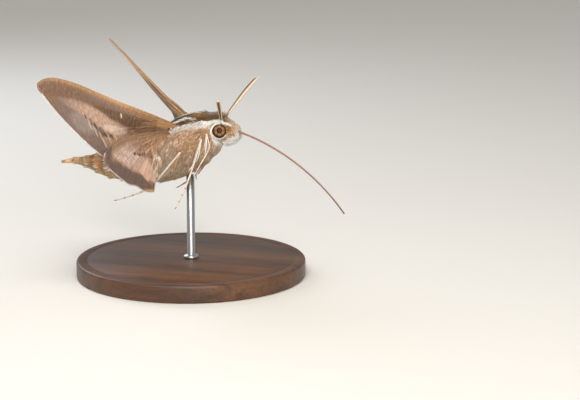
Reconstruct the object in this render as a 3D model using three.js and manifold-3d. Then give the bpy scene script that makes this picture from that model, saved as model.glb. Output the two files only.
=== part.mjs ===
// White-lined sphinx moth, life size, hovering with its tongue out, on a plain display stand.
// Millimetres, +Z up. The moth heads along +X and its right side is -Y.
// The origin is the middle of the underside of the stand's base.
import * as THREE from 'three';
import { mergeVertices } from 'three/addons/utils/BufferGeometryUtils.js';
import Module from 'manifold-3d';

const wasm = await Module();
wasm.setup();

const { sin, cos, PI, sqrt, min, max, atan2, hypot } = Math;
const RIGHT = -1;
const LEFT = 1;
const point = (x, y, z) => new THREE.Vector3(x, y, z);

// Driving dimensions, in mm
const flightHeight = 30;       // middle of the thorax above the ground
const gap = 0.3;               // air between parts that meet
const baseRadius = 26;
const baseThickness = 4;
const baseEdge = 0.6;          // rounding of the base's rim
const rodRadius = 0.9;
const membrane = 0.5;          // wing thickness between the veins
const veinRise = 0.16;         // how far a vein stands out of each face
const tongueLength = 30;       // out of the mouth to its tip

// The trunk runs back from the neck to the last ring of the abdomen. Each station gives the
// distance along the body, the height of its middle, its half height and its half width.
const trunkStations = [
  { x: 5.8, z: 3.55, high: 3.9, wide: 3.5 },
  { x: 5.0, z: 3.2, high: 4.7, wide: 4.2 },
  { x: 3.0, z: 2.45, high: 5.65, wide: 4.9 },
  { x: 1.0, z: 1.42, high: 6.12, wide: 5.2 },
  { x: -1.0, z: 0.22, high: 6.22, wide: 5.3 },
  { x: -3.0, z: -1.03, high: 6.22, wide: 5.2 },
  { x: -5.0, z: -2.05, high: 6.1, wide: 4.9 },
  { x: -7.0, z: -2.95, high: 5.7, wide: 4.6 },
  { x: -9.0, z: -3.65, high: 5.5, wide: 4.7 },
  { x: -12.0, z: -4.25, high: 5.0, wide: 4.7 },
  { x: -16.0, z: -4.9, high: 4.2, wide: 4.1 },
  { x: -20.0, z: -5.35, high: 3.2, wide: 3.1 },
  { x: -23.2, z: -5.3, high: 2.1, wide: 2.0 },
  { x: -26.0, z: -5.2, high: 1.2, wide: 1.25 },
  { x: -28.4, z: -5.15, high: 0.75, wide: 0.85 },
];
const neck = 5.8;
const waist = -7.0;            // where the thorax ends and the abdomen starts
const lastRing = -28.4;
const abdomenRings = 7;
const ringStep = 0.16;         // how far each ring of scales overhangs the next

// The head, from its back at the neck to the brow
const headStations = [
  { x: 5.4, z: 3.7, high: 3.4, wide: 3.1 },
  { x: 6.6, z: 3.95, high: 3.2, wide: 2.9 },
  { x: 7.8, z: 4.1, high: 3.0, wide: 2.75 },
  { x: 9.0, z: 4.2, high: 2.65, wide: 2.5 },
  { x: 10.0, z: 4.6, high: 1.95, wide: 1.9 },
  { x: 10.6, z: 4.75, high: 1.2, wide: 1.2 },
  { x: 10.95, z: 4.8, high: 0.35, wide: 0.35 },
];
const eye = { x: 7.85, y: 2.25, z: 4.0, round: 1.6, deep: 1.3 };

// Closed surfaces

function oriented(positions, index) {
  const geometry = new THREE.BufferGeometry();
  const numbers = positions.flatMap((p) => [p.x, p.y, p.z]);
  geometry.setAttribute('position', new THREE.Float32BufferAttribute(numbers, 3));
  let volume = 0;
  for (let i = 0; i < index.length; i += 3) {
    const [a, b, c] = [positions[index[i]], positions[index[i + 1]], positions[index[i + 2]]];
    volume += a.dot(point(0, 0, 0).crossVectors(b, c));
  }
  geometry.setIndex(volume > 0 ? index : index.toReversed());
  return geometry;
}

// A skin over rings of equal count, closed by a fan at each end
function skinOver(rings) {
  const count = rings[0].length;
  const middle = (ring) => ring.reduce((sum, p) => sum.add(p), point(0, 0, 0)).divideScalar(count);
  const positions = [...rings.flat(), middle(rings[0]), middle(rings.at(-1))];
  const index = [];
  for (let i = 0; i + 1 < rings.length; i += 1) {
    for (let j = 0; j < count; j += 1) {
      const a = i * count + j;
      const b = i * count + (j + 1) % count;
      index.push(a, b, b + count, a, b + count, a + count);
    }
  }
  const first = rings.length * count;
  const lastStart = (rings.length - 1) * count;
  for (let j = 0; j < count; j += 1) {
    const next = (j + 1) % count;
    index.push(next, j, first);
    index.push(lastStart + j, lastStart + next, first + 1);
  }
  return oriented(positions, index);
}

// A thin sheet between two grids of the same size, both split into triangles alike
function slabBetween(upper, lower) {
  const rows = upper.length;
  const columns = upper[0].length;
  const positions = [...upper.flat(), ...lower.flat()];
  const under = rows * columns;
  const at = (i, j) => i * columns + j;
  const index = [];
  for (let i = 0; i + 1 < rows; i += 1) {
    for (let j = 0; j + 1 < columns; j += 1) {
      const [a, b, c, d] = [at(i, j), at(i, j + 1), at(i + 1, j + 1), at(i + 1, j)];
      index.push(a, b, c, a, c, d);
      index.push(under + a, under + c, under + b, under + a, under + d, under + c);
    }
  }
  const upTo = (count) => Array.from({ length: count }, (_, i) => i);
  const rim = [
    ...upTo(columns - 1).map((j) => at(0, j)),
    ...upTo(rows - 1).map((i) => at(i, columns - 1)),
    ...upTo(columns - 1).map((j) => at(rows - 1, columns - 1 - j)),
    ...upTo(rows - 1).map((i) => at(rows - 1 - i, 0)),
  ];
  rim.forEach((a, k) => {
    const b = rim[(k + 1) % rim.length];
    index.push(b, a, under + a, b, under + a, under + b);
  });
  return oriented(positions, index);
}

// Joining and cutting

function solidOf(geometry) {
  const bare = geometry.clone();
  bare.deleteAttribute('normal');
  bare.deleteAttribute('uv');
  const merged = mergeVertices(bare, 1e-4);
  return new wasm.Manifold(new wasm.Mesh({
    numProp: 3,
    vertProperties: new Float32Array(merged.attributes.position.array),
    triVerts: new Uint32Array(merged.index.array),
  }));
}

function geometryOf(solid) {
  const pieces = solid.decompose();
  const largest = pieces.reduce((best, piece) => (piece.volume() > best.volume() ? piece : best));
  const mesh = largest.getMesh();
  const geometry = new THREE.BufferGeometry();
  geometry.setAttribute('position', new THREE.Float32BufferAttribute(mesh.vertProperties, 3));
  geometry.setIndex(Array.from(mesh.triVerts));
  return geometry;
}

const joined = (solids) => solids.reduce((all, solid) => all.add(solid));
const cutBy = (solid, cutters) => cutters.reduce((rest, cutter) => rest.subtract(cutter), solid);

// Smooth curve of values through stations, for one named size
function sizeAlong(stations, name) {
  const rows = [...stations].sort((a, b) => a.x - b.x);
  const slope = rows.map((row, i) => {
    const before = rows[max(0, i - 1)];
    const after = rows[min(rows.length - 1, i + 1)];
    return (after[name] - before[name]) / (after.x - before.x);
  });
  return (x) => {
    const above = rows.findIndex((row) => row.x > x);
    const i = above < 0 ? rows.length - 2 : max(0, above - 1);
    const width = rows[i + 1].x - rows[i].x;
    const t = min(1, max(0, (x - rows[i].x) / width));
    const rise = rows[i + 1][name] - rows[i][name];
    const a = slope[i] * width - rise;
    const b = rise - slope[i + 1] * width;
    return rows[i][name] + rise * t + t * (1 - t) * (a * (1 - t) + b * t);
  };
}

const smooth = (t) => {
  const s = min(1, max(0, t));
  return s * s * (3 - 2 * s);
};

// Trunk and head

function formAlong(stations) {
  const middle = sizeAlong(stations, 'z');
  const high = sizeAlong(stations, 'high');
  const wide = sizeAlong(stations, 'wide');
  const tilt = (x) => atan2(middle(x + 0.5) - middle(x - 0.5), 1);
  return { middle, high, wide, tilt };
}

const trunk = formAlong(trunkStations);
const headForm = formAlong(headStations);
const bellyNarrowing = 0.07;

// One ring of a form, square to the body's axis, with its sizes grown by 'more'
function ringAt(form, x, more, sides) {
  const lean = form.tilt(x);
  return Array.from({ length: sides }, (_, k) => {
    const turn = (2 * PI * (k + 0.5)) / sides;
    const up = (form.high(x) + more) * sin(turn);
    const out = (form.wide(x) + more) * cos(turn) * (1 + bellyNarrowing * sin(turn));
    return point(x - up * sin(lean), out, form.middle(x) + up * cos(lean));
  });
}

function formBetween(form, from, to, steps, sides, more = 0) {
  const place = (i) => from + ((to - from) * i) / steps;
  const rings = Array.from({ length: steps + 1 }, (_, i) => ringAt(form, place(i), more, sides));
  if (more > 0) {
    const ends = [[rings[0], rings[1]], [rings.at(-1), rings.at(-2)]];
    ends.forEach(([ring, inner]) => {
      const outward = ring[0].clone().sub(inner[0]).setLength(more);
      ring.forEach((p) => p.add(outward));
    });
  }
  return skinOver(rings);
}

// Half width of the trunk where a level line at (x, z) meets its side
function flank(x, z) {
  let along = x;
  let up = 0;
  for (let i = 0; i < 6; i += 1) {
    const lean = trunk.tilt(along);
    up = (z - trunk.middle(along)) / cos(lean);
    along = x + up * sin(lean);
  }
  const level = min(1, max(-1, up / trunk.high(along)));
  return trunk.wide(along) * sqrt(1 - level * level) * (1 + bellyNarrowing * level);
}

const thorax = () => formBetween(trunk, neck, waist, 12, 26);

// Each ring of the abdomen swells towards its back edge, then steps in under the next
function abdomen() {
  const sides = 22;
  const start = waist - gap;
  const length = (start - lastRing) / abdomenRings;
  const rings = [];
  for (let k = 0; k < abdomenRings; k += 1) {
    const from = start - length * k;
    const fade = 1 - 0.6 * (k / abdomenRings);
    rings.push(ringAt(trunk, from, 0, sides));
    rings.push(ringAt(trunk, from - length / 2, 0.35 * ringStep * fade, sides));
    rings.push(ringAt(trunk, from - length + 0.25 * fade, ringStep * fade, sides));
  }
  rings.push(ringAt(trunk, lastRing, 0, sides));
  return skinOver(rings);
}

const grownTrunk = solidOf(formBetween(trunk, neck, lastRing, 30, 28, gap));
const nape = headStations[0].x;
const brow = headStations.at(-1).x;
const headBetween = (more) => solidOf(formBetween(headForm, nape, brow, 9, 20, more));
const grownHead = headBetween(1.2 * gap);
const widerHead = headBetween(1.7 * gap);

function eyeBall(side, more) {
  const ball = new THREE.SphereGeometry(1, 16, 10);
  ball.scale(eye.round + more, eye.deep + more, eye.round + more);
  ball.translate(eye.x, side * eye.y, eye.z);
  return ball;
}

function head() {
  const sockets = [RIGHT, LEFT].map((side) => solidOf(eyeBall(side, gap)));
  return geometryOf(cutBy(headBetween(0), [grownTrunk, ...sockets]));
}

// Tubes along a path, for feelers, tongue, palps and legs

function tube(path, radius, steps, sides, flat = 1) {
  const frames = path.computeFrenetFrames(steps, false);
  const rings = Array.from({ length: steps + 1 }, (_, i) => {
    const t = i / steps;
    const centre = path.getPointAt(t);
    return Array.from({ length: sides }, (__, k) => {
      const turn = (2 * PI * k) / sides;
      return centre.clone()
        .addScaledVector(frames.normals[i], radius(t) * cos(turn))
        .addScaledVector(frames.binormals[i], radius(t) * flat * sin(turn));
    });
  });
  return skinOver(rings);
}

const curveThrough = (points) => new THREE.CatmullRomCurve3(points, false, 'centripetal');

// Tongue: out of the mouth between the palps, bending down towards its tip
const mouth = point(12.05, 0, 3.55);
const tongueDip = [17, 1.2];   // degrees below level at the mouth, and more for each mm along
const tongueSteps = 10;
function tongueCourse() {
  const places = [point(10.3, 0, 4.15), mouth.clone()];
  const stride = tongueLength / tongueSteps;
  for (let k = 0; k < tongueSteps; k += 1) {
    const dip = THREE.MathUtils.degToRad(tongueDip[0] + tongueDip[1] * stride * (k + 0.5));
    places.push(places.at(-1).clone().add(point(cos(dip) * stride, 0, -sin(dip) * stride)));
  }
  return curveThrough(places);
}
const tonguePath = tongueCourse();
const tongueRadius = 0.28;
const tongueTaper = 0.3;
function tongue(more) {
  return solidOf(tube(tonguePath, (t) => tongueRadius * (1 - tongueTaper * t) + more, 22, 6));
}
const proboscis = () => geometryOf(cutBy(tongue(0), [widerHead]));

// Palps: two upturned lobes that close the front of the face
const palpInner = 0.15;        // half the air between the two
function palp(side) {
  const path = curveThrough([
    point(8.2, side * 1.15, 1.35), point(9.4, side * 1.2, 1.55), point(10.4, side * 1.2, 2.4),
    point(10.85, side * 1.1, 3.5), point(11.0, side * 0.95, 4.5), point(10.95, side * 0.85, 5.0),
  ]);
  const radius = (t) => 0.35 + 0.75 * sin(PI * min(1, 0.14 + 0.82 * t)) ** 0.7;
  const lobe = solidOf(tube(path, radius, 9, 10));
  const across = new THREE.BoxGeometry(12, 4, 12);
  across.translate(10, -side * (2 - palpInner), 3);
  return geometryOf(cutBy(lobe, [widerHead, solidOf(across), tongue(gap), grownTrunk]));
}

// Antennae: thicker towards the end, with a fine hooked tip
const antennae = {
  right: { root: point(7.9, -1.2, 6.3), aim: point(0.255, -0.84, 0.48), length: 13.4 },
  left: { root: point(7.9, 1.2, 6.3), aim: point(0.335, 0.735, 0.6), length: 13.9 },
};
function antenna({ root, aim, length }) {
  const ahead = aim.clone().normalize();
  const down = point(0, 0, -1).addScaledVector(ahead, ahead.z).normalize();
  const along = (share, drop) => root.clone()
    .addScaledVector(ahead, length * share).addScaledVector(down, drop);
  const path = curveThrough([
    along(-0.03, 0), along(0.3, -0.25), along(0.6, -0.35),
    along(0.85, -0.2), along(0.96, 0.05), along(1, 0.5),
  ]);
  const [thin, thick, tip, hook] = [0.3, 0.52, 0.12, 0.86];
  const radius = (t) => (t < hook
    ? thin + (thick - thin) * smooth(t / 0.7)
    : thick + (tip - thick) * smooth((t - hook) / (1 - hook)));
  return geometryOf(cutBy(solidOf(tube(path, radius, 16, 8)), [grownHead]));
}

// Legs: hip, femur up the side to the knee, shin down, then the foot with its claws. 'out' is
// how far the femur and the knee stand off the trunk's side, and 'aside' how far the heel and
// the foot's joints stand out from the trunk's side at the knee.
const legSizes = { femur: 0.5, knee: 0.42, heel: 0.34, toe: 0.25 };
const legs = {
  foreleg_right: {
    side: RIGHT, hip: [4.2, -1.9], femur: [5.4, 0.6], knee: [5.7, 3.4], heel: [5.9, 0.3],
    foot: [[4.95, -1.5], [3.8, -3.5], [2.0, -6.5]], out: [0.9, 1.0], aside: [-0.3, -0.5, -0.2, -0.5],
    spur: 1.5,
  },
  midleg_right: {
    side: RIGHT, hip: [1.6, -4.0], femur: [3.6, -1.4], knee: [4.62, 2.3], heel: [2.3, -5.6],
    foot: [[1.4, -8.2], [0.2, -10.6], [-1.2, -13.3]], out: [0.8, 0.95], aside: [1.6, 2.0, 1.8, 1.6],
    spur: 3.4,
  },
  hindleg_right: {
    side: RIGHT, hip: [-2.6, -5.6], femur: [-1.8, -3.8], knee: [-0.2, -0.8], heel: [-6.0, -7.8],
    foot: [[-9.1, -10.0], [-12.4, -11.4], [-15.8, -12.6]], out: [0.85, 0.95], aside: [1.2, 1.0, 0.8, 0.6],
    spur: 2.4,
  },
  foreleg_left: {
    side: LEFT, hip: [4.0, -2.1], femur: [4.9, 0.4], knee: [5.2, 2.9], heel: [4.2, -1.7],
    foot: [[3.15, -3.5], [1.85, -5.4], [0.5, -7.2]], out: [0.9, 1.0], aside: [-0.3, -0.5, -0.2, -0.1],
    spur: 1.5,
  },
  midleg_left: {
    side: LEFT, hip: [1.6, -4.0], femur: [3.2, -1.4], knee: [3.4, 1.8], heel: [0.3, -6.3],
    foot: [[-1.6, -8.3], [-3.5, -9.9], [-5.4, -11.2]], out: [0.8, 0.95], aside: [1.4, 2.0, 1.8, 1.2],
    spur: 3.0,
  },
  hindleg_left: {
    side: LEFT, hip: [-2.6, -5.6], femur: [-1.9, -3.8], knee: [-0.8, -1.6], heel: [-6.8, -7.4],
    foot: [[-10.4, -8.6], [-13.6, -9.2], [-16.6, -9.9]], out: [0.85, 0.95], aside: [1.2, 1.0, 0.8, 0.6],
    spur: 2.4,
  },
};
const hipDepth = 0.9;          // how deep a leg starts inside the trunk's outline
const legSides = 6;

// A tapering length of leg through the given joints, its ends running on into the next length
function limb(joints, radiusFrom, radiusTo, swell = 0, sides = legSides) {
  const first = joints[0].clone().sub(joints[1]).setLength(0.6 * radiusFrom).add(joints[0]);
  const last = joints.at(-1).clone().sub(joints.at(-2)).setLength(0.6 * radiusTo).add(joints.at(-1));
  const path = curveThrough([first, ...joints.slice(1, -1), last]);
  const radius = (t) => radiusFrom + (radiusTo - radiusFrom) * t + swell * sin(PI * t);
  const steps = joints.length > 2 ? 2 * joints.length - 2 : 1 + (swell > 0);
  return solidOf(tube(path, radius, steps, sides));
}

function leg({ side, hip, femur, knee, heel, foot, out, aside, spur }) {
  const beside = ([x, z], off) => point(x, side * (flank(x, z) + off), z);
  const free = ([x, z], off) => point(x, side * (flank(...knee) + off), z);
  const root = beside(hip, -hipDepth);
  const thigh = beside(femur, out[0]);
  const bend = beside(knee, out[1]);
  const ankle = free(heel, aside[0]);
  const joints = foot.map((place, k) => free(place, aside[1 + k]));
  const parts = [
    limb([root, thigh, bend], legSizes.femur, legSizes.knee, 0.08),
    limb([bend, ankle], legSizes.knee, legSizes.heel, 0.05),
    limb([ankle, ...joints], legSizes.heel, legSizes.toe),
  ];
  const shin = ankle.clone().sub(bend).normalize();
  const spurs = [
    { share: 0.72, reach: 0.6, apart: 0.22 },
    { share: 1, reach: 0.8, apart: -0.25 },
  ].map(({ share, reach, apart }) => {
    const start = bend.clone().lerp(ankle, share);
    const tip = start.clone().addScaledVector(shin, spur * reach);
    tip.add(point(-0.25 * spur, side * apart * spur, 0));
    return limb([start, tip], 0.25, 0.12, 0, 4);
  });
  const end = joints.at(-1);
  const toe = end.clone().sub(joints.at(-2)).normalize();
  const claws = [-0.35, 0.35].map((spread) => {
    const start = end.clone().addScaledVector(toe, -0.3);
    const tip = end.clone().addScaledVector(toe, 0.55).add(point(0, spread, 0.1));
    return limb([start, tip], 0.2, 0.08, 0, 4);
  });
  return geometryOf(cutBy(joined([...parts, ...spurs, ...claws]), [grownTrunk, grownHead]));
}

// Wings. Each is a patch between four edges: leading, inner, root and outer. In the wing's own
// plan the first number runs from the root to the tip and the second from front to back.
const plans = {
  forewing: {
    lead: [[-2.2, -0.5], [3.4, -1.0], [12, -1.7], [20, -2.5], [27, -3.15], [32.2, -2.9],
      [35.2, -1.9], [37.2, -0.3]],
    inner: [[-2.2, 2.2], [3, 4.0], [8, 6.4], [14, 9.6], [20.2, 12.4]],
    outer: [[37.2, -0.3], [36.95, 1.2], [34.9, 3.2], [31.8, 5.7], [28.3, 8.0], [24.2, 10.5], [20.2, 12.4]],
    veins: [
      { at: 0.07, from: 0, to: 0.75 }, { at: 0.15, from: 0, to: 1 }, { at: 0.26, from: 0.3, to: 1 },
      { at: 0.38, from: 0.46, to: 1 }, { at: 0.5, from: 0.46, to: 1 }, { at: 0.62, from: 0.46, to: 1 },
      { at: 0.73, from: 0, to: 1 }, { at: 0.83, from: 0.3, to: 1 }, { at: 0.93, from: 0, to: 1 },
    ],
    steps: 13, leadHalf: [0.6, 0.3], camber: 0.8, backLift: 1.5,
  },
  hindwing: {
    lead: [[-2.2, -0.2], [2.8, -1.4], [8.8, -2.2], [14.9, -2.7], [20.0, -2.3], [24.5, -0.4]],
    inner: [[-2.2, 1.6], [1.3, 2.9], [3.4, 5.3], [4.5, 8.6], [5.4, 11.8]],
    outer: [[24.5, -0.4], [24.5, 1.7], [21.8, 4.0], [15.8, 7.9], [12.6, 9.0], [9.3, 10.8], [5.4, 11.8]],
    veins: [
      { at: 0.1, from: 0, to: 1 }, { at: 0.25, from: 0.3, to: 1 }, { at: 0.42, from: 0.4, to: 1 },
      { at: 0.58, from: 0.4, to: 1 }, { at: 0.74, from: 0.3, to: 1 }, { at: 0.9, from: 0, to: 1 },
    ],
    steps: 10, leadHalf: [0.42, 0.28], camber: 0.4, backLift: 0,
  },
};
const veinHalfWidth = 0.022;   // in shares of the patch from front to back

// Each wing's pose, in degrees: swept back from straight out, raised above level, and rolled
// about its own length, from the roll at its root to the roll further out, reached 'twistReach'
// mm from the root
const wings = {
  forewing_right: {
    plan: plans.forewing, side: RIGHT, root: [-2.7, 4.0, 4.73],
    sweep: 32.2, raise: 20.2, rootRoll: -24, roll: 29.9, twistReach: 16,
  },
  forewing_left: {
    plan: plans.forewing, side: LEFT, root: [-2.0, 4.4, 4.9],
    sweep: 53.9, raise: 23.6, rootRoll: -5, roll: 47.8, twistReach: 9,
  },
  hindwing_right: {
    plan: plans.hindwing, side: RIGHT, root: [-3.6, 5.0, 2.8],
    sweep: 10.8, raise: -1.2, rootRoll: -30, roll: -1.2, twistReach: 5,
  },
  hindwing_left: {
    plan: plans.hindwing, side: LEFT, root: [-3.4, 5.3, 1.4],
    sweep: 18, raise: -1.5, rootRoll: -32, roll: 12, twistReach: 5,
  },
};

const flatPoints = (list) => list.map(([a, b]) => new THREE.Vector2(a, b));
const edgeOf = (list) => new THREE.SplineCurve(flatPoints(list));

// Place on the plan: u from root to outer edge, v from leading to inner edge
function patch(plan) {
  const lead = edgeOf(plan.lead);
  const inner = edgeOf(plan.inner);
  const outer = edgeOf(plan.outer);
  const [rootFront, rootBack] = [lead.getPoint(0), inner.getPoint(0)];
  const [tipFront, tipBack] = [lead.getPoint(1), inner.getPoint(1)];
  return (u, v) => {
    const sideways = lead.getPointAt(u).multiplyScalar(1 - v).addScaledVector(inner.getPointAt(u), v);
    const rootLine = rootFront.clone().lerp(rootBack, v);
    const lengthways = rootLine.clone().multiplyScalar(1 - u).addScaledVector(outer.getPointAt(v), u);
    const corners = rootLine.multiplyScalar(1 - u).addScaledVector(tipFront.clone().lerp(tipBack, v), u);
    return sideways.add(lengthways).sub(corners);
  };
}

// The wing's middle surface: the plan turned into its pose, twisted along its length and bulged
function wingSurface({ plan, side, root, sweep, raise, rootRoll, roll, twistReach }) {
  const [sweepTurn, raiseTurn] = [sweep, raise].map(THREE.MathUtils.degToRad);
  const ahead = point(-sin(sweepTurn) * cos(raiseTurn), -cos(sweepTurn) * cos(raiseTurn), sin(raiseTurn));
  const hang = point(0, 0, -1).addScaledVector(ahead, ahead.z).normalize();
  const across = point(0, 0, 0).crossVectors(ahead, hang);
  const place = patch(plan);
  return (u, v) => {
    const on = place(u, v);
    const settle = smooth((hypot(on.x, on.y) - 1) / twistReach);
    const turn = THREE.MathUtils.degToRad(rootRoll + (roll - rootRoll) * settle);
    const back = hang.clone().multiplyScalar(cos(turn)).addScaledVector(across, sin(turn));
    const below = point(0, 0, 0).crossVectors(ahead, back);
    const bulge = (plan.camber * sin(PI * v) + plan.backLift * v * v) * sin(PI * (0.08 + 0.86 * u));
    const spot = point(root[0], -root[1], root[2])
      .addScaledVector(ahead, on.x)
      .addScaledVector(back, on.y)
      .addScaledVector(below, -bulge);
    return side === LEFT ? point(spot.x, -spot.y, spot.z) : spot;
  };
}

// Lines that run from the root to the outer edge, each with its half thickness along the way
function wingLines({ leadHalf, veins }) {
  const plain = membrane / 2;
  const vein = ({ at, from, to }) => {
    const crest = (u) => plain + (u > from - 0.01 && u < to + 0.01 ? veinRise : 0);
    return [
      { v: at - veinHalfWidth, half: () => plain },
      { v: at, half: crest },
      { v: at + veinHalfWidth, half: () => plain },
    ];
  };
  const lead = { v: 0, half: (u) => leadHalf[0] + (leadHalf[1] - leadHalf[0]) * u };
  return [lead, ...veins.flatMap(vein), { v: 1, half: () => plain }];
}

function wing(sizes) {
  const surface = wingSurface(sizes);
  const lines = wingLines(sizes.plan);
  const near = 0.004;
  const normalAt = (u, v) => {
    const alongU = surface(min(1, u + near), v).sub(surface(max(0, u - near), v));
    const alongV = surface(u, min(1, v + near)).sub(surface(u, max(0, v - near)));
    return alongU.cross(alongV).normalize();
  };
  const spots = (u, up) => lines.map(({ v, half }) => (
    surface(u, v).addScaledVector(normalAt(u, v), up * half(u))
  ));
  const face = (up) => {
    const { steps } = sizes.plan;
    return Array.from({ length: steps + 1 }, (_, i) => spots(i / steps, up));
  };
  return geometryOf(cutBy(solidOf(slabBetween(face(1), face(-1))), [grownTrunk]));
}

// Tail: a tuft of flat tapered locks around a short core, fanning out of the last ring
const tailLength = 4.0;
const tailLocks = 7;
const tailSag = 0.55;          // how far its end hangs below its start
function tail() {
  const start = lastRing - gap;
  const high = trunk.high(lastRing);
  const wide = trunk.wide(lastRing);
  const middle = trunk.middle(lastRing);
  const core = skinOver([0, 0.4, 1].map((t) => ringAt({
    middle: () => middle - 0.25 * t,
    high: () => high * (1 - tailSag * t),
    wide: () => wide * (1 - tailSag * t),
    tilt: () => 0.05,
  }, start - tailLength * 0.6 * t, 0, 12)));
  const lock = (k) => {
    const turn = (2 * PI * k) / tailLocks + 0.2;
    const reach = tailLength * (0.86 + 0.14 * cos(2.4 * k));
    const spread = 0.95 + 0.1 * sin(1.7 * k);
    const at = (share, away) => point(
      start - reach * share,
      cos(turn) * away * wide,
      middle - tailSag * share * share + sin(turn) * away * high,
    );
    const path = curveThrough([
      at(0.08, 0.5), at(0.45, 0.8 * spread), at(0.8, 0.75 * spread), at(1, 0.6 * spread),
    ]);
    return solidOf(tube(path, (t) => 0.32 * (1 - t) ** 0.6 + 0.07, 4, 5, 0.8));
  };
  return geometryOf(joined([solidOf(core), ...Array.from({ length: tailLocks }, (_, k) => lock(k))]));
}

// Stand: a turned disc and one rod up to the thorax
function standBase() {
  const profile = [
    [0, 0],
    [baseRadius - baseEdge, 0],
    [baseRadius, baseEdge],
    [baseRadius, baseThickness - baseEdge],
    [baseRadius - baseEdge * 0.3, baseThickness - baseEdge * 0.3],
    [baseRadius - baseEdge, baseThickness],
    [0, baseThickness],
  ];
  const disc = new THREE.LatheGeometry(flatPoints(profile), 56);
  disc.rotateX(PI / 2);
  return disc;
}

function standRod() {
  const low = baseThickness + gap - flightHeight;
  const rod = new THREE.CylinderGeometry(rodRadius, rodRadius, -low, 24);
  rod.rotateX(PI / 2);
  rod.translate(0, 0, low / 2);
  return geometryOf(cutBy(solidOf(rod), [grownTrunk]));
}

// Assembly

function material(color, roughness, metalness = 0) {
  return new THREE.MeshStandardMaterial({ color, roughness, metalness });
}

const finishes = {
  fur: () => material('#8d7355', 0.9),
  face: () => material('#a58a6a', 0.9),
  scales: () => material('#8f6f57', 0.85),
  tuft: () => material('#d9a77c', 0.9),
  eye: () => material('#4a2f1c', 0.25),
  palp: () => material('#e4dcd3', 0.9),
  tongue: () => material('#9a6a55', 0.5),
  antenna: () => material('#c2a684', 0.7),
  leg: () => material('#d8c4ab', 0.7),
  wing: () => material('#9a7c66', 0.8),
  base: () => material('#4a3226', 0.5),
  rod: () => material('#b9bcc0', 0.3, 1),
};

const moth = new THREE.Group();
moth.position.set(0, 0, flightHeight);
const standing = new THREE.Group();
const add = (group, name, geometry, finish) => {
  const mesh = new THREE.Mesh(geometry, finish());
  mesh.name = name;
  group.add(mesh);
};

add(standing, 'stand_base', standBase(), finishes.base);
add(moth, 'stand_rod', standRod(), finishes.rod);
add(moth, 'head', head(), finishes.face);
add(moth, 'thorax', thorax(), finishes.fur);
add(moth, 'abdomen', abdomen(), finishes.scales);
add(moth, 'tail_tuft', tail(), finishes.tuft);
add(moth, 'proboscis', proboscis(), finishes.tongue);
Object.entries({ right: RIGHT, left: LEFT }).forEach(([word, side]) => {
  add(moth, `eye_${word}`, eyeBall(side, 0), finishes.eye);
  add(moth, `palp_${word}`, palp(side), finishes.palp);
  add(moth, `antenna_${word}`, antenna(antennae[word]), finishes.antenna);
});
Object.entries(legs).forEach(([name, sizes]) => add(moth, name, leg(sizes), finishes.leg));
Object.entries(wings).forEach(([name, sizes]) => add(moth, name, wing(sizes), finishes.wing));

const displayModel = new THREE.Group();
displayModel.add(standing, moth);

export default displayModel;
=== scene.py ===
# %% [markdown]
# A white-lined sphinx moth, life size, on a display stand
# This lesson dresses a plain solid model of the moth. The solids are loaded first and are never
# moved. They give the frame: millimetres become metres, the moth heads along +X, its right side
# is -Y, and the stand's underside is at height zero. Every piece made here is worked out with
# numpy as whole arrays and laid over the solid that it replaces.

import bpy
import numpy as np
from mathutils import Matrix


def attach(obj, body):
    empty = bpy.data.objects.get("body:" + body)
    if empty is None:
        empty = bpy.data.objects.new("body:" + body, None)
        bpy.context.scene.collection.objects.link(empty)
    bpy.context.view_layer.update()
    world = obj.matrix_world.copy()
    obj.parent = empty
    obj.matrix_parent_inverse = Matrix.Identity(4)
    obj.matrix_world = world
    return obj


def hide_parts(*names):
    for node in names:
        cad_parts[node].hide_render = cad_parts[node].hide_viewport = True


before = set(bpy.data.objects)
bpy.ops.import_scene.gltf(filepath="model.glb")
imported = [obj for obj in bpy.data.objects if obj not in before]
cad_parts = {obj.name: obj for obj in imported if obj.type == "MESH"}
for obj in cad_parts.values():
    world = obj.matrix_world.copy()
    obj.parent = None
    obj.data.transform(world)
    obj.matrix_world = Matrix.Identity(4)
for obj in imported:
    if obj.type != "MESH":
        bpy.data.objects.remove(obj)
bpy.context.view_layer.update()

MM = 0.001
FLIGHT = 30.0                  # height of the middle of the thorax over the ground, mm
BODY_LIFT = np.array([0.0, 0.0, FLIGHT])
print("solids loaded:", len(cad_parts), "nodes")

# %% [markdown]
# Colours and masks
# A moth has no pigment of its own under its coat: every marking is a patch of scales of one
# colour. So a marking is a mask, from 0 to 1, that tints the colour under it. Colours are
# written as sRGB hex codes, as in a paint chart, and turned to linear light once.

# %% Colour and mask helpers


def linear(code):
    """An sRGB hex code as linear light: c / 12.92 up to 0.04045, and above it c plus 0.055 over
    1.055, to the power 2.4."""
    c = np.array([int(code[i:i + 2], 16) for i in (1, 3, 5)]) / 255
    return np.where(c <= 0.04045, c / 12.92, ((c + 0.055) / 1.055) ** 2.4)


def ease(t):
    """0 up to 0, 1 from 1 on, and 3 t squared less 2 t cubed between."""
    s = np.clip(t, 0, 1)
    return s * s * (3 - 2 * s)


def inside(value, centre, half, soft):
    """1 where value is within half of centre, easing to 0 over the next soft."""
    return 1 - ease((np.abs(value - centre) - half) / soft)


def tint(colours, code, amount):
    """Moves each colour towards the hex colour by its amount, from 0 to 1."""
    return colours + (linear(code) - colours) * np.clip(amount, 0, 1)[..., None]


def layered(base, like, *marks):
    """The base colour for each value of 'like', then each (code, amount) over it in turn."""
    colours = np.broadcast_to(linear(base), like.shape + (3,)).copy()
    for code, amount in marks:
        colours = tint(colours, code, amount)
    return colours


def spot(a, b, centre, size, soft=0.5):
    """A soft ellipse about centre: 1 inside it, easing to 0 over soft of its own size."""
    away = np.hypot((a - centre[0]) / size[0], (b - centre[1]) / size[1])
    return 1 - ease((away - 1) / soft)


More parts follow.
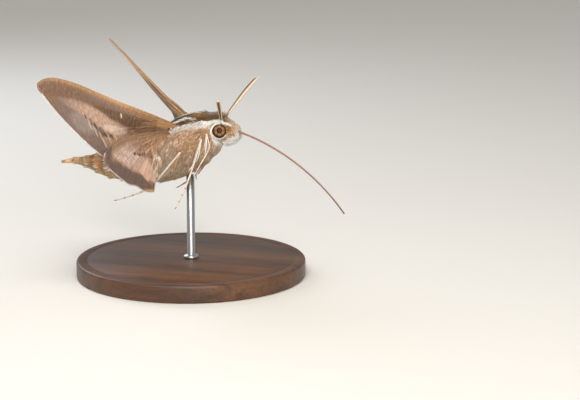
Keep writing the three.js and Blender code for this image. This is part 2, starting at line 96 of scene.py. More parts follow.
def unit(v):
    """Each vector divided by its own length."""
    return v / np.maximum(np.linalg.norm(v, axis=-1, keepdims=True), 1e-12)


print("linear light of mid tan:", linear("#c59a74").round(3))

# %% [markdown]
# From arrays to a mesh
# Blender takes a whole mesh in a few calls: one array of points, one of corners, and the corner
# at which each face starts. Colours go in as an attribute on the points, so that the markings
# stay with the surface. Each piece rides on the one solid body and takes its finish.

# %% Mesh helpers


def build(name, points, faces, colours=None, unwrap=None, layer_name="OFBake"):
    """One mesh from points in mm (n, 3) and a list of face arrays, each (m, 3) or (m, 4)."""
    mesh = bpy.data.meshes.new(name)
    corners = np.concatenate([f.ravel() for f in faces]).astype(np.int32)
    sizes = np.concatenate([np.full(len(f), f.shape[1]) for f in faces])
    mesh.vertices.add(len(points))
    mesh.vertices.foreach_set("co", (points * MM).astype(np.float32).ravel())
    mesh.loops.add(len(corners))
    mesh.loops.foreach_set("vertex_index", corners)
    mesh.polygons.add(len(sizes))
    starts = np.concatenate([[0], np.cumsum(sizes)[:-1]]).astype(np.int32)
    mesh.polygons.foreach_set("loop_start", starts)
    mesh.update(calc_edges=True)
    mesh.polygons.foreach_set("use_smooth", np.full(len(sizes), True))
    if colours is not None:
        layer = mesh.attributes.new("Marking", "FLOAT_COLOR", "POINT")
        alpha = np.ones((len(points), 1))
        layer.data.foreach_set("color", np.hstack([colours, alpha]).astype(np.float32).ravel())
    if unwrap is not None:
        uv = mesh.uv_layers.new(name=layer_name)
        uv.data.foreach_set("uv", unwrap[corners].astype(np.float32).ravel())
    piece = bpy.data.objects.new(name, mesh)
    bpy.context.scene.collection.objects.link(piece)
    return piece


def fit(piece, finish, slot, *nodes):
    """Gives the piece its finish, lets it ride on the body, and hides the solids it stands for."""
    piece.data.materials.append(finish)
    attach(piece, "root")
    if nodes:
        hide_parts(*nodes)
    print(piece.name, len(piece.data.polygons), "faces")
    return piece


def tube_faces(rings, sides):
    """Quads between rings that run round, and a fan from each end ring to its pole point."""
    i, j = np.meshgrid(np.arange(rings - 1), np.arange(sides), indexing="ij")
    a, b = i * sides + j, i * sides + (j + 1) % sides
    quads = np.stack([a, b, b + sides, a + sides], -1).reshape(-1, 4)
    k = np.arange(sides)
    nxt, last = (k + 1) % sides, (rings - 1) * sides
    pole = rings * sides
    start = np.stack([nxt, k, np.full(sides, pole)], -1)
    end = np.stack([last + k, last + nxt, np.full(sides, pole + 1)], -1)
    return [quads, np.concatenate([start, end])]


def close_tube(rings):
    """Ring points (n, sides, 3) with the middle of the first and the last ring added as poles."""
    ends = np.stack([rings[0].mean(0), rings[-1].mean(0)])
    return np.concatenate([rings.reshape(-1, 3), ends])


def curve(points, count, flat_ends=False):
    """A smooth curve through points, of cubic spans, at count places evenly spaced along it. With
    flat ends each end point stands for its own missing neighbour, which eases the ends."""
    p = np.array(points, float)
    before, after = (p[0], p[-1]) if flat_ends else (2 * p[0] - p[1], 2 * p[-1] - p[-2])
    q = np.vstack([before, p, after])
    t = np.linspace(0, 1, 40, endpoint=False)[:, None, None]
    a, b, c, d = q[:-3], q[1:-2], q[2:-1], q[3:]
    spans = b + t / 2 * (c - a + t * (2 * a - 5 * b + 4 * c - d + t * (3 * (b - c) + d - a)))
    fine = np.vstack([spans.transpose(1, 0, 2).reshape(-1, p.shape[1]), p[-1:]])
    along = np.concatenate([[0], np.cumsum(np.linalg.norm(np.diff(fine, axis=0), axis=1))])
    wanted = np.linspace(0, along[-1], count)
    return np.stack([np.interp(wanted, along, fine[:, k]) for k in range(p.shape[1])], -1)


def tube(path, wide, high, reference, sides):
    """Rings round a path: centre + side wide cos a + up high sin a, up leaning to reference."""
    ahead = unit(np.gradient(path, axis=0))
    side = unit(np.cross(np.array(reference, float), ahead))
    up = np.cross(ahead, side)
    a = np.linspace(0, 2 * np.pi, sides, endpoint=False)[:, None]
    wide, high = (np.broadcast_to(w, len(path))[:, None, None] for w in (wide, high))
    return path[:, None] + side[:, None] * wide * np.cos(a) + up[:, None] * high * np.sin(a)


# %% [markdown]
# Materials
# Scales and fur are tiny overlapping plates of chitin: rough, without a clear highlight, with a
# soft sheen at a glancing angle. One node tree serves all of them: the marking's colour from the
# mesh, a fine mottle that makes single scales a little lighter or darker, and a bump of the same
# size. Real scales are 0.1 mm wide, which is less than a pixel here, so they are drawn coarser.

# %% Node helper and the scaly finishes


def node(tree, kind, links=(), **settings):
    """Adds a node, sets its inputs by name or its own properties, and links sockets into it."""
    made = tree.nodes.new(kind)
    for name, value in settings.items():
        plain = name.replace("_", " ")
        socket = next((s for s in made.inputs if s.name.lower() == plain), None)
        if hasattr(made, name) and name not in ("color",):
            setattr(made, name, value)
        elif socket is not None:
            socket.default_value = value
    for source, out, into in links:
        tree.links.new(source.outputs[out], made.inputs[into])
    return made


def new_finish(name):
    """An empty material with its output node and its tree."""
    finish = bpy.data.materials.new(name)
    finish.use_nodes = True
    tree = finish.node_tree
    tree.nodes.clear()
    return finish, tree, tree.nodes.new("ShaderNodeOutputMaterial")


SOFT_SHEEN = {"sheen_roughness": 0.4, "specular_ior_level": 0.25}


def surface(tree, out, links=(), **settings):
    """A Principled node with these links and settings, joined to the material's output."""
    skin = node(tree, "ShaderNodeBsdfPrincipled", links, **settings)
    tree.links.new(skin.outputs["BSDF"], out.inputs["Surface"])


def scaled_finish(name, size, contrast, rough, sheen, relief):
    """Scales of the mesh's own colour: a mottle of 'size' mm, with its bump 'relief' mm deep."""
    finish, tree, out = new_finish(name)
    marking = node(tree, "ShaderNodeAttribute", attribute_name="Marking")
    place = node(tree, "ShaderNodeTexCoord")
    grain = node(tree, "ShaderNodeTexVoronoi", [(place, "Object", "Vector")],
                 scale=1 / (size * MM), randomness=1.0)
    cloud = node(tree, "ShaderNodeTexNoise", [(place, "Object", "Vector")],
                 scale=1 / (size * 9 * MM), detail=2.0)
    both = node(tree, "ShaderNodeMath", [(grain, "Color", 0), (cloud, "Fac", 1)], operation="ADD")
    light = node(tree, "ShaderNodeMapRange", [(both, "Value", "Value")],
                 from_min=0.2, from_max=1.6, to_min=1 - contrast, to_max=1 + contrast)
    shade = node(tree, "ShaderNodeVectorMath", [(marking, "Color", 0), (light, "Result", "Scale")],
                 operation="SCALE")
    bump = node(tree, "ShaderNodeBump", [(grain, "Distance", "Height")],
                strength=0.6, distance=relief * MM)
    surface(tree, out, [(shade, "Vector", "Base Color"), (bump, "Normal", "Normal")],
            roughness=rough, ior=1.5, sheen_weight=sheen, **SOFT_SHEEN)
    return finish


fur = scaled_finish("hair-like scales", 0.30, 0.10, 0.75, 0.12, 0.02)
limb_scales = scaled_finish("limb scales", 0.16, 0.12, 0.60, 0.05, 0.01)
print("scaly finishes:", fur.name, limb_scales.name)

# %% [markdown]
# Camera, floor and light
# The moth is seen from its right, a little in front and a little above, through a long lens.
# The floor is a plain pale sheet, a wide shallow dish that curves up far off on every side, so
# the camera can go all the way round. Three soft panels light it: a broad one above, a warm one
# from the front, and a weaker one from the far side that lifts the rim.

# %% Camera
AZIMUTH, ELEVATION = np.radians([18.0, 12.0])
LENS, SENSOR = 120.0, 36.0                   # mm
WIDTH, HEIGHT, PX_PER_MM = 580, 400, 4.45    # of the picture, and the moth's scale in it
MOTH_AT = (190, 145)                         # pixels from the left and from the top
towards = np.array([np.sin(AZIMUTH) * np.cos(ELEVATION), -np.cos(AZIMUTH) * np.cos(ELEVATION),
                    np.sin(ELEVATION)])
right = np.array([np.cos(AZIMUTH), np.sin(AZIMUTH), 0.0])
upward = np.cross(towards, right)
focal_px = LENS / SENSOR * WIDTH
distance = focal_px / PX_PER_MM
aside, below = ((at - size / 2) / focal_px * distance for at, size in zip(MOTH_AT, (WIDTH, HEIGHT)))
eye_point = BODY_LIFT + towards * distance - right * aside + upward * below

camera_data = bpy.data.cameras.new("camera")
camera_data.lens, camera_data.sensor_width = LENS, SENSOR
camera_data.clip_start, camera_data.clip_end = 0.01, 20.0
camera = bpy.data.objects.new("camera", camera_data)
turned = Matrix(np.stack([right, upward, towards], 1).tolist()).to_4x4()
turned.translation = (eye_point * MM).tolist()
camera.matrix_world = turned
bpy.context.scene.collection.objects.link(camera)
bpy.context.scene.camera = camera
bpy.context.scene.view_settings.view_transform = "Standard"
print("camera at", (eye_point * MM).round(3))

# %% Floor and lights
REACH, CELLS = 1300.0, 110
FLAT, CURL, WALL = 750, 550, 420             # mm: flat this far, then up over CURL to WALL
gx, gy = np.meshgrid(*[np.linspace(-REACH, REACH, CELLS)] * 2, indexing="ij")
rise = WALL * ease((np.hypot(gx, gy) - FLAT) / CURL) - 0.02
at = np.arange(CELLS * CELLS).reshape(CELLS, CELLS)
floor_quads = np.stack([at[:-1, :-1], at[1:, :-1], at[1:, 1:], at[:-1, 1:]], -1).reshape(-1, 4)
floor = build("floor", np.stack([gx, gy, rise], -1).reshape(-1, 3), [floor_quads])
paper, tree, out = new_finish("pale seamless paper")
surface(tree, out, roughness=0.9, base_color=(*linear("#eceae5"), 1))
floor.data.materials.append(paper)


def panel(name, place, size, power, code, spread=180):
    """A square soft light, place in mm, aimed at the middle of the thorax; a spread of less than
    180 degrees keeps it off the floor at its own foot."""
    data = bpy.data.lights.new(name, "AREA")
    data.spread = np.radians(spread)
    data.size, data.energy, data.color = size * MM, power, linear(code)
    lamp = bpy.data.objects.new(name, data)
    aim = unit(np.array(place, float) - BODY_LIFT)
    across = unit(np.cross([0, 0, 1.0], aim))
    lamp.matrix_world = Matrix(np.stack([across, np.cross(aim, across), aim], 1).tolist()).to_4x4()
    lamp.location = (np.array(place, float) * MM).tolist()
    lamp.visible_camera = False
    bpy.context.scene.collection.objects.link(lamp)


panel("top panel", (60, -210, 320), 190, 0.88, "#fffaf2")
panel("front panel", (270, -505, 165), 290, 0.64, "#fff6ea", spread=110)
panel("far panel", (-280, 160, 220), 180, 0.44, "#eef4ff")
world = bpy.data.worlds.new("room")
world.use_nodes = True
backdrop = world.node_tree.nodes["Background"].inputs
backdrop["Color"].default_value = (*linear("#eeecea"), 1)
backdrop["Strength"].default_value = 0.50
bpy.context.scene.world = world

# %% [markdown]
# The stand
# The base is a turned disc of walnut with an eased rim, and the rod is drawn steel, brushed
# along its length. A profile turned round the upright axis gives each of them, closed at the
# axis. Walnut grain is a noise pulled out 11 to 1 along the board, with darker pore lines.

# %% Walnut and steel
walnut, tree, out = new_finish("oiled walnut")
place = node(tree, "ShaderNodeTexCoord")
board = node(tree, "ShaderNodeMapping", [(place, "Object", "Vector")], scale=(0.09, 1.0, 1.0))
figure = node(tree, "ShaderNodeTexNoise", [(board, "Vector", "Vector")],
              scale=1 / (5 * MM), detail=6.0, distortion=0.8)
pores = node(tree, "ShaderNodeTexNoise", [(board, "Vector", "Vector")],
             scale=1 / (0.45 * MM), detail=3.0)
wood = node(tree, "ShaderNodeValToRGB", [(figure, "Fac", "Fac")])
wood.color_ramp.elements[0].position, wood.color_ramp.elements[1].position = 0.3, 0.72
wood.color_ramp.elements[0].color = (*linear("#3a2417"), 1)
wood.color_ramp.elements[1].color = (*linear("#6f4a31"), 1)
pore = node(tree, "ShaderNodeMapRange", [(pores, "Fac", "Value")],
            from_min=0.35, from_max=0.55, to_min=0.72, to_max=1.0)
dark = node(tree, "ShaderNodeVectorMath", [(wood, "Color", 0), (pore, "Result", "Scale")],
            operation="SCALE")
grooves = node(tree, "ShaderNodeBump", [(pores, "Fac", "Height")], strength=0.25,
               distance=0.04 * MM)
surface(tree, out, [(dark, "Vector", "Base Color"), (grooves, "Normal", "Normal")],
        roughness=0.42, ior=1.5)

steel, tree, out = new_finish("brushed steel")
place = node(tree, "ShaderNodeTexCoord")
stretch = node(tree, "ShaderNodeMapping", [(place, "Object", "Vector")], scale=(1.0, 1.0, 0.03))
brush = node(tree, "ShaderNodeTexNoise", [(stretch, "Vector", "Vector")],
             scale=1 / (0.08 * MM), detail=2.0)
lines = node(tree, "ShaderNodeBump", [(brush, "Fac", "Height")], strength=0.15, distance=0.01 * MM)
surface(tree, out, [(lines, "Normal", "Normal")], metallic=1.0, roughness=0.32,
        base_color=(*linear("#b9bcc0"), 1))

# %% Base and rod


def turned_solid(profile, sides):
    """Each (radius, height) of the profile carried round the upright axis, its ends on the axis."""
    a = np.linspace(0, 2 * np.pi, sides, endpoint=False)
    r, z = np.array(profile, float).T[..., None]
    rings = np.stack([r * np.cos(a), r * np.sin(a), np.broadcast_to(z, (len(r), sides))], -1)
    return close_tube(rings), tube_faces(len(profile), sides)


def eased_corner(r, z, round_off, start, count=7):
    """A quarter circle of radius round_off about (r, z), from the angle start on."""
    a = np.radians(start + np.linspace(0, 90, count))
    return [(r + round_off * np.cos(t), z + round_off * np.sin(t)) for t in a]


BASE_RADIUS, BASE_HEIGHT, RIM = 26.0, 4.0, 0.6
profile = ([(0.5, 0), (20.0, 0)] + eased_corner(BASE_RADIUS - RIM, RIM, RIM, -90)
           + eased_corner(BASE_RADIUS - RIM, BASE_HEIGHT - RIM, RIM, 0)
           + [(BASE_RADIUS - 2.2, BASE_HEIGHT), (BASE_RADIUS - 2.4, BASE_HEIGHT - 0.12),
              (BASE_RADIUS - 2.6, BASE_HEIGHT), (1.4, BASE_HEIGHT), (0.5, BASE_HEIGHT)])
fit(build("stand_base_turned", *turned_solid(profile, 160)), walnut, "walnut", "stand_base")

ROD, ROD_TOP = 0.9, 23.2
foot = [(0.2, BASE_HEIGHT), (1.75, BASE_HEIGHT), (1.75, BASE_HEIGHT + 0.45),
        (1.5, BASE_HEIGHT + 0.7), (ROD + 0.02, BASE_HEIGHT + 0.75), (ROD, BASE_HEIGHT + 0.8),
        (ROD, ROD_TOP), (0.2, ROD_TOP)]
fit(build("stand_rod_turned", *turned_solid(foot, 40)), steel, "rod_steel", "stand_rod")

# %% [markdown]
# The body's form
# Head, thorax and abdomen are one soft skin, so no seam shows between them. The form is a
# profile carried along the body: at each station a middle height, a half height and a half
# width. Those are the solid's sizes, and the skin lies inside them by the depth of its coat.

# %% Stations and the body's surface
stations = np.array([
    # x, middle z, half height, half width, coat depth
    [-28.4, -5.15, 0.75, 0.85, 0.08], [-26.0, -5.20, 1.20, 1.25, 0.10],
    [-23.2, -5.30, 2.10, 2.00, 0.11], [-20.0, -5.35, 3.20, 3.10, 0.12],
    [-16.0, -4.90, 4.20, 4.10, 0.14], [-12.0, -4.25, 5.00, 4.70, 0.16],
    [-9.0, -3.65, 5.50, 4.70, 0.22], [-7.0, -2.95, 5.70, 4.60, 0.28],
    [-5.0, -2.05, 6.10, 4.90, 0.32], [-3.0, -1.03, 6.22, 5.20, 0.34],
    [-1.0, 0.22, 6.22, 5.30, 0.34], [1.0, 1.42, 6.12, 5.20, 0.34],
    [3.0, 2.45, 5.65, 4.90, 0.34], [5.0, 3.20, 4.70, 4.20, 0.32],
    [5.9, 3.62, 3.75, 3.40, 0.28], [6.6, 3.95, 3.20, 2.90, 0.24],
    [7.8, 4.10, 3.00, 2.75, 0.20], [9.0, 4.20, 2.65, 2.50, 0.20],
    [10.0, 4.60, 1.95, 1.90, 0.20], [10.6, 4.75, 1.20, 1.20, 0.16],
    [10.95, 4.80, 0.35, 0.35, 0.10],
])
TAIL_END, BROW = stations[0, 0], stations[-1, 0]
WAIST, RINGS = -7.3, 7
RING_LENGTH = (WAIST - TAIL_END) / RINGS


def along_body(x, column):
    """A cubic through the stations, its slope at each one that of the line past its neighbours."""
    sx, sy = stations[:, 0], stations[:, column]
    slope = np.gradient(sy, sx)
    k = np.clip(np.searchsorted(sx, x) - 1, 0, len(sx) - 2)
    width, step = sx[k + 1] - sx[k], sy[k + 1] - sy[k]
    t = np.clip((x - sx[k]) / width, 0, 1)
    a, b = slope[k] * width - step, step - slope[k + 1] * width
    return sy[k] + step * t + t * (1 - t) * (a * (1 - t) + b * t)


def ring_phase(x):
    """Which ring of the abdomen x lies on, and how far back along it, from 0 to 1."""
    place = (WAIST - x) / RING_LENGTH
    return np.floor(place), place - np.floor(place)


def on_body(x, turn, deep=0.0):
    """The surface at x and angle turn: the middle, plus half height up and half width out."""
    ring, phase = ring_phase(x)
    swell = np.where(x < WAIST, 0.16 * (1 - ring / 12) * phase ** 3, 0.0)
    grown = swell - deep * along_body(x, 4)
    lean = np.arctan2(along_body(x + 0.5, 1) - along_body(x - 0.5, 1), 1.0)
    up = (along_body(x, 2) + grown) * np.sin(turn)
    out = (along_body(x, 3) + grown) * np.cos(turn) * (1 + 0.07 * np.sin(turn))
    return np.stack([x - up * np.sin(lean), out,
                     FLIGHT + along_body(x, 1) + up * np.cos(lean)], -1)


def flank(x, z):
    """Half width of the body where a level line at x and z meets its side."""
    place = x
    for _ in range(6):
        lean = np.arctan2(along_body(place + 0.5, 1) - along_body(place - 0.5, 1), 1.0)
        up = (z - along_body(place, 1)) / np.cos(lean)
        place = x + up * np.sin(lean)
    share = np.clip(up / along_body(place, 2), -1, 1)
    return along_body(place, 3) * np.sqrt(1 - share ** 2) * (1 + 0.07 * share)


def body_frame(x, turn, deep=1.0):
    """The point at x and turn, the way back along the body, the way up its side, the normal."""
    h = 0.02
    ahead = unit(on_body(x + h, turn, deep) - on_body(x - h, turn, deep))
    round_it = unit(on_body(x, turn + h, deep) - on_body(x, turn - h, deep))
    outward = unit(np.cross(ahead, round_it))
    point = on_body(x, turn, deep)
    middle = np.stack([x, 0 * x, FLIGHT + along_body(x, 1)], -1)
    outward = outward * np.sign(np.sum(outward * (point - middle), -1, keepdims=True))
    upside = np.where((np.cos(turn) < 0)[:, None], -round_it, round_it)
    return point, -ahead, upside, outward


print("body is", round(BROW - TAIL_END, 1), "mm from brow to last ring")

# %% [markdown]
# The body's markings
# Each marking is placed by x, along the body, and by its level on the side in degrees: 90 on the
# back, 0 on the flank and -90 under the belly, the same on both sides. Two white lines run along
# each side of a brown back, a broad one edges the flank from over the eye to the wing, and the
# abdomen is ringed, with dark and white patches and one orange ring near its end.

# %% Colours over the body


def stripe(x, level, places, soft):
    """A line through places of (x, level, half width): 1 on it, easing to 0 beyond its edges."""
    line = np.array(places, float)
    line = line[np.argsort(line[:, 0])]
    centre, half = np.interp(x, line[:, 0], line[:, 1]), np.interp(x, line[:, 0], line[:, 2])
    ends = ease((x - line[0, 0]) / 0.5 + 1) * ease((line[-1, 0] - x) / 0.5 + 1)
    return inside(level, centre, half, soft) * ends


def thorax_colours(x, level):
    """Tan flanks, a brown back, a grey breast, the white lines over them, and painted shade in the
    neck's crease.
    """
    neck_crease_shade = stripe(x, level, [(4.9, -20, 46), (5.9, -12, 38)], 8)
    bundle = inside(level, -2 + 5.5 * (x + 2.1), 5, 6) * inside(x, -2.2, 1.8, 0.8)
    edge = np.interp(x, [-4, 0, 1.2, 2.2], [62, 50, 42, 32])
    back = ease((level - edge) / 7)
    return layered(
        "#eecfb6", x,
        ("#e2b68c", spot(x, level, (2.8, 2), (2.6, 13), 0.9)),
        ("#dcc2ae", inside(level, 33, 6, 6) * inside(x, -1.2, 1.4, 1.0) * 0.85),
        ("#d8bfa0", ease((-24 - level) / 24) * 0.9),
        ("#cdb08c", ease((-56 - level) / 22) * 0.8),
        # Painted shade: a brown line in the crease where the neck dips between thorax and head.
        ("#a37c57", neck_crease_shade * inside(x, 5.75 + 0.012 * level, 0.28, 0.3) * 0.9),
        ("#d8bfa8", ease((-36 - level) / 14) * ease((x - 3.6) / 1.4) * 0.8),
        ("#b57a43", spot(x, level, (4.7, 3), (0.4, 5), 0.8) * 0.6),
        ("#b98450", spot(x, level, (-0.9, -17), (0.7, 9), 0.8) * 0.4),
        ("#eccdb0", bundle * 0.7),
        ("#71542f", back),
        ("#97744c", back * inside(level, 67, 4, 5) * ease((x - 2.4) / 1.5)),
        ("#a5825a", back * inside(level, 76, 2, 4) * ease((x - 3.0) / 1.5)),
        ("#3f2c1e", stripe(x, level, [(-3, 75, 2.6), (0, 75, 2.6), (3.0, 69, 1.6)], 2.5)),
        ("#5a412a", stripe(x, level, [(-0.4, 52, 1), (1.2, 50, 2), (2.6, 47, 2)], 3) * 0.8),
        ("#b8926c", spot(x, level, (5.0, 8), (1.2, 13), 0.5) * 0.9),
        ("#cfae94", spot(x, level, (0.6, 31), (2.4, 5), 0.8) * 0.9),
        ("#fbf8f4",
         stripe(x, level,
                [(-2.2, 44, 1), (0.4, 41, 1.6), (1.8, 38, 2.4), (3.4, 36, 4), (4.6, 35, 5.5),
                 (6.2, 38, 11), (7.0, 42, 9)], 3)),
        ("#fbf8f4",
         stripe(x, level, [(-1.4, 60, 2.6), (1.5, 61, 3.0), (2.8, 58, 2.8), (3.8, 52, 1.5)], 2)),
        ("#f6efe5",
         stripe(x, level, [(-4.5, 84, 1.8), (0.5, 84, 2.0), (2.7, 84, 2.0), (5.6, 84, 1.4)],
                1.5)))


def head_colours(x, level):
    """A brown crown, a white brow line, a white rim round the eye, white cheeks and painted shade
    in the neck's crease.
    """
    brow = stripe(x, level,
                  [(5.6, 38, 9), (7.4, 45, 8), (9.0, 47, 7), (10.2, 32, 8), (10.5, 20, 6)], 4)
    rim_x = np.interp(level, [-45, -28, 0, 35], [7.2, 6.4, 6.1, 6.6])
    rim = inside(x, rim_x, 0.12, 0.10) * ease((level + 60) / 15) * ease((50 - level) / 12)
    return layered(
        "#7d654c", x,
        ("#97805f", ease((level - 60) / 10) * ease((x - 8.0) / 1.5)),
        ("#c6ac97", ease((x - 9.7) / 0.9)),
        ("#bd8f5c", spot(x, level, (9.8, -2), (1.15, 26), 0.3)),
        ("#fbf8f4", ease((-20 - level) / 10)),
        ("#d9c1aa", ease((6.7 - x) / 0.6) * ease((-46 - level) / 12)),
        ("#fdfbf8", brow),
        ("#fbf8f4", rim),
        ("#f1e9de", stripe(x, level, [(5.5, 84, 1), (9.5, 80, 1)], 3) * 0.4),
        # Painted shade: brown in the neck's crease, just behind the eye's rim.
        ("#b48c66", inside(x, 5.9, 0.3, 0.3) * inside(level, 6, 16, 8) * 0.9),
        *[("#33241a", spot(x, level, place, (0.11, 4.5), 0.7) * 0.85)
          for place in ((10.5, 6), (10.25, -16), (9.9, 14), (9.7, -4), (10.1, -2))])


def abdomen_colours(x, level):
    """Tan rings, each darker in front and pale at its back edge, with side and back patches."""
    phase = ring_phase(x)[1]
    lines = np.sin(0.42 * level + 0.5 * np.sin(0.9 * x))
    orange = (inside(x, -21.5 - 0.02 * level, 0.14, 0.12) * ease((level + 26) / 10)
              * ease((62 - level) / 10))
    return layered(
        "#b68d67", x,
        ("#a17c58", ease((level - 20) / 25) * 0.7),
        ("#cfae84", ease((-18 - level) / 22)),
        ("#8f6c4b", inside(phase, 0.15, 0.16, 0.2) * 0.35),
        ("#59412f", inside(level, 50, 8, 8) * inside(phase, 0.34, 0.16, 0.16) * 0.75),
        ("#6e5239", inside(level, 16, 5, 6) * inside(phase, 0.26, 0.12, 0.14) * 0.5),
        ("#f6ecdc", inside(level, -12, 6, 6) * inside(phase, 0.82, 0.10, 0.12)),
        ("#ece2d2", inside(level, 33, 4, 5) * inside(phase, 0.86, 0.08, 0.08) * 0.3),
        ("#efe6d6", inside(level, 88, 5, 5) * inside(phase, 0.80, 0.12, 0.1) * 0.7),
        ("#e6dabf", inside(phase, 0.95, 0.05, 0.06) * (0.35 + 0.5 * ease((-25 - level) / 20))),
        ("#5f4836", inside(phase, 0.04, 0.03, 0.04) * ease((-5 - level) / 20) * 0.8),
        ("#8f6a49", ease((lines - 0.3) / 0.5) * ease((40 - np.abs(level)) / 15) * 0.45),
        ("#e08a2c", orange),
        ("#cda681", ease((-25.6 - x) / 1.6) * 0.85))


def body_colours(x, turn):
    """The three parts' colours, each given way to the next where they meet."""
    level = np.degrees(np.arcsin(np.clip(np.sin(turn), -1, 1)))
    back = ease((WAIST + 0.5 - x) / 1.0)[:, None]
    front = ease((x - 5.9) / 0.5)[:, None]
    trunk = thorax_colours(x, level) * (1 - back) + abdomen_colours(x, level) * back
    return trunk * (1 - front) + head_colours(x, level) * front


print("flank colour:", body_colours(np.array([2.0]), np.array([np.pi])).round(3))

# %% [markdown]
# Skin
# The skin is the body's surface on a grid of places along it and turns round it, drawn in by the
# coat's depth, and closed by a fan at each end. It is what shows between the tufts, so it
# carries their markings, a little darker, as the roots of fur are in shadow.

# %% Skin
STEPS, TURNS = 260, 112
grid_x = TAIL_END + (BROW - TAIL_END) * np.linspace(0, 1, STEPS)
grid_turn = np.linspace(0, 2 * np.pi, TURNS, endpoint=False)
gx, gt = (g.ravel() for g in np.meshgrid(grid_x, grid_turn, indexing="ij"))
rings = on_body(gx, gt, 1.0).reshape(STEPS, TURNS, 3)
skin_points = close_tube(rings)
skin_colours = body_colours(np.append(gx, [TAIL_END, BROW]), np.append(gt, [0, 0])) * 0.8
skin_faces = tube_faces(STEPS, TURNS)
skin = build("body_skin", skin_points, skin_faces, skin_colours)
fit(skin, fur, "thorax_fur", "head", "thorax", "abdomen")

# %% [markdown]
# Tufts
# Fur that is hair-like scales is made as many small solid blades: flat, tapering and a little
# curved, with their roots sunk in the skin. A blade is seven points, three at the root, three
# half way and the tip, so ten triangles. All blades of a coat are worked out together: the
# surface's own frame at each root gives where a blade lies, and its length, width and lift come
# from where it grows. Each blade keeps the colour of its root, with painted shade towards its
# root, where the blades shade one another, and a painted highlight towards its tip.

# %% Blades from roots
BLADE_QUADS = np.array([[0, 3, 4, 1], [0, 2, 5, 3], [1, 4, 5, 2]])
BLADE_TRIANGLES = np.array([[3, 6, 4], [3, 5, 6], [4, 6, 5], [0, 1, 2]])


def blades(root, lie, outward, length, width, lift, colours, where, dice, spread=0.16,
           sway=0.10):
    """Points, faces, colours and unwrap of one blade a root; its middle line rises by lift, then
    settles: root + lie t + outward (lift t - half lift t squared), t from 0 to its length."""
    count = len(root)
    lie = unit(lie - outward * np.sum(lie * outward, -1, keepdims=True))
    side = np.cross(outward, lie)
    length, width, lift = (np.broadcast_to(v, count)[:, None] for v in (length, width, lift))

    def middle(t):
        return root + lie * length * t + outward * (length * lift * (t - 0.5 * t * t)
                                                    - 0.08 * (1 - t))

    swing = side * (dice.normal(0, sway, (count, 1)) * length)
    half, belly = width / 2, width * 0.3
    start, mid, tip = middle(0.0), middle(0.55) + swing * 0.4, middle(1.0) + swing
    points = np.stack([start + side * half, start - side * half, start + outward * belly,
                       mid + side * half * 0.85, mid - side * half * 0.85, mid + outward * belly,
                       tip], 1)
    # Painted shade and light along the blade: darker at the root, where blades shade one another,
    # lighter at the tip.
    shade = np.array([0.62, 0.62, 0.70, 0.96, 0.96, 1.02, 1.16])[None, :, None]
    own = np.exp(dice.normal(0, spread, (count, 1, 1))) * (1 + dice.normal(0, 0.025, (count, 1, 3)))
    painted = np.clip(colours[:, None] * shade * own, 0, 0.97)
    offset = np.array([[-0.5, 0], [0.5, 0], [0, 0], [-0.45, 0.5], [0.45, 0.5], [0, 0.5],
                       [0, 1]]) * 0.003
    first = np.arange(count)[:, None, None] * 7
    faces = [(first + BLADE_QUADS).reshape(-1, 4), (first + BLADE_TRIANGLES).reshape(-1, 3)]
    return (points.reshape(-1, 3), faces, painted.reshape(-1, 3),
            (where[:, None] + offset).reshape(-1, 2))


def joined_blades(name, parts, finish, slot, *nodes):
    """Several sets of blades as one mesh, their faces counted on from the set before."""
    points, faces, colours, unwraps, count = [], [], [], [], 0
    for part_points, part_faces, part_colours, unwrap in parts:
        points.append(part_points)
        faces += [f + count for f in part_faces]
        colours.append(part_colours)
        unwraps.append(unwrap)
        count += len(part_points)
    piece = build(name, np.concatenate(points), faces, np.concatenate(colours),
                  np.concatenate(unwraps))
    return fit(piece, finish, slot, *nodes)


def roots_on_body(low, high, count, dice, keep=None):
    """Random places (x, turn) on the body between low and high, evenly spread over its area."""
    x = low + (high - low) * dice.random(count * 3)
    turn = 2 * np.pi * dice.random(count * 3)
    h = 0.01
    patch = np.linalg.norm(np.cross(on_body(x + h, turn) - on_body(x, turn),
                                    on_body(x, turn + h) - on_body(x, turn)), axis=1)
    chosen = dice.random(len(x)) < patch / np.quantile(patch, 0.99)
    if keep is not None:
        chosen &= keep(x, turn)
    return x[chosen][:count], turn[chosen][:count]


def side_level(turn):
    """Level on the side in degrees: 90 on the back, 0 on the flank, -90 under the belly."""
    return np.degrees(np.arcsin(np.clip(np.sin(turn), -1, 1)))


print("a blade has", 2 * len(BLADE_QUADS) + len(BLADE_TRIANGLES), "triangles")

# %% Coat of the thorax
dice = np.random.default_rng(11)
EYE = np.array([7.85, 2.25, 4.0])
EYE_SIZE = np.array([1.6, 1.3, 1.6])


def clear_of_eye(x, turn):
    """True where a root is outside the eye's rim."""
    spot_at = on_body(x, turn) - BODY_LIFT
    away = np.hypot(spot_at[:, 0] - EYE[0], spot_at[:, 2] - EYE[2])
    return (away > EYE_SIZE[0] - 0.02) | (np.abs(np.cos(turn)) < 0.35)


def body_place(x, turn):
    """The place on the body's map: x and turn each as a share of its range, with a margin."""
    return np.stack([0.02 + 0.96 * (x - TAIL_END) / (BROW - TAIL_END),
                     0.02 + 0.96 * turn / (2 * np.pi)], -1)


def locks(x, turn, count, dice):
    """The lock that each root belongs to: the nearest of 'count' of the roots, where a millimetre
    along the fur's slanting lie counts a third of one across it."""
    level = np.radians(side_level(turn))
    down = (np.pi / 2 - level) * 5.2
    along, across = (0.42 * down - 0.9 * x) / 3, 0.9 * down + 0.42 * x + 60 * (np.cos(turn) > 0)
    chief = dice.choice(len(x), count, replace=False)
    away = (along[:, None] - along[chief]) ** 2 + (across[:, None] - across[chief]) ** 2
    return chief[np.argmin(away, axis=1)]


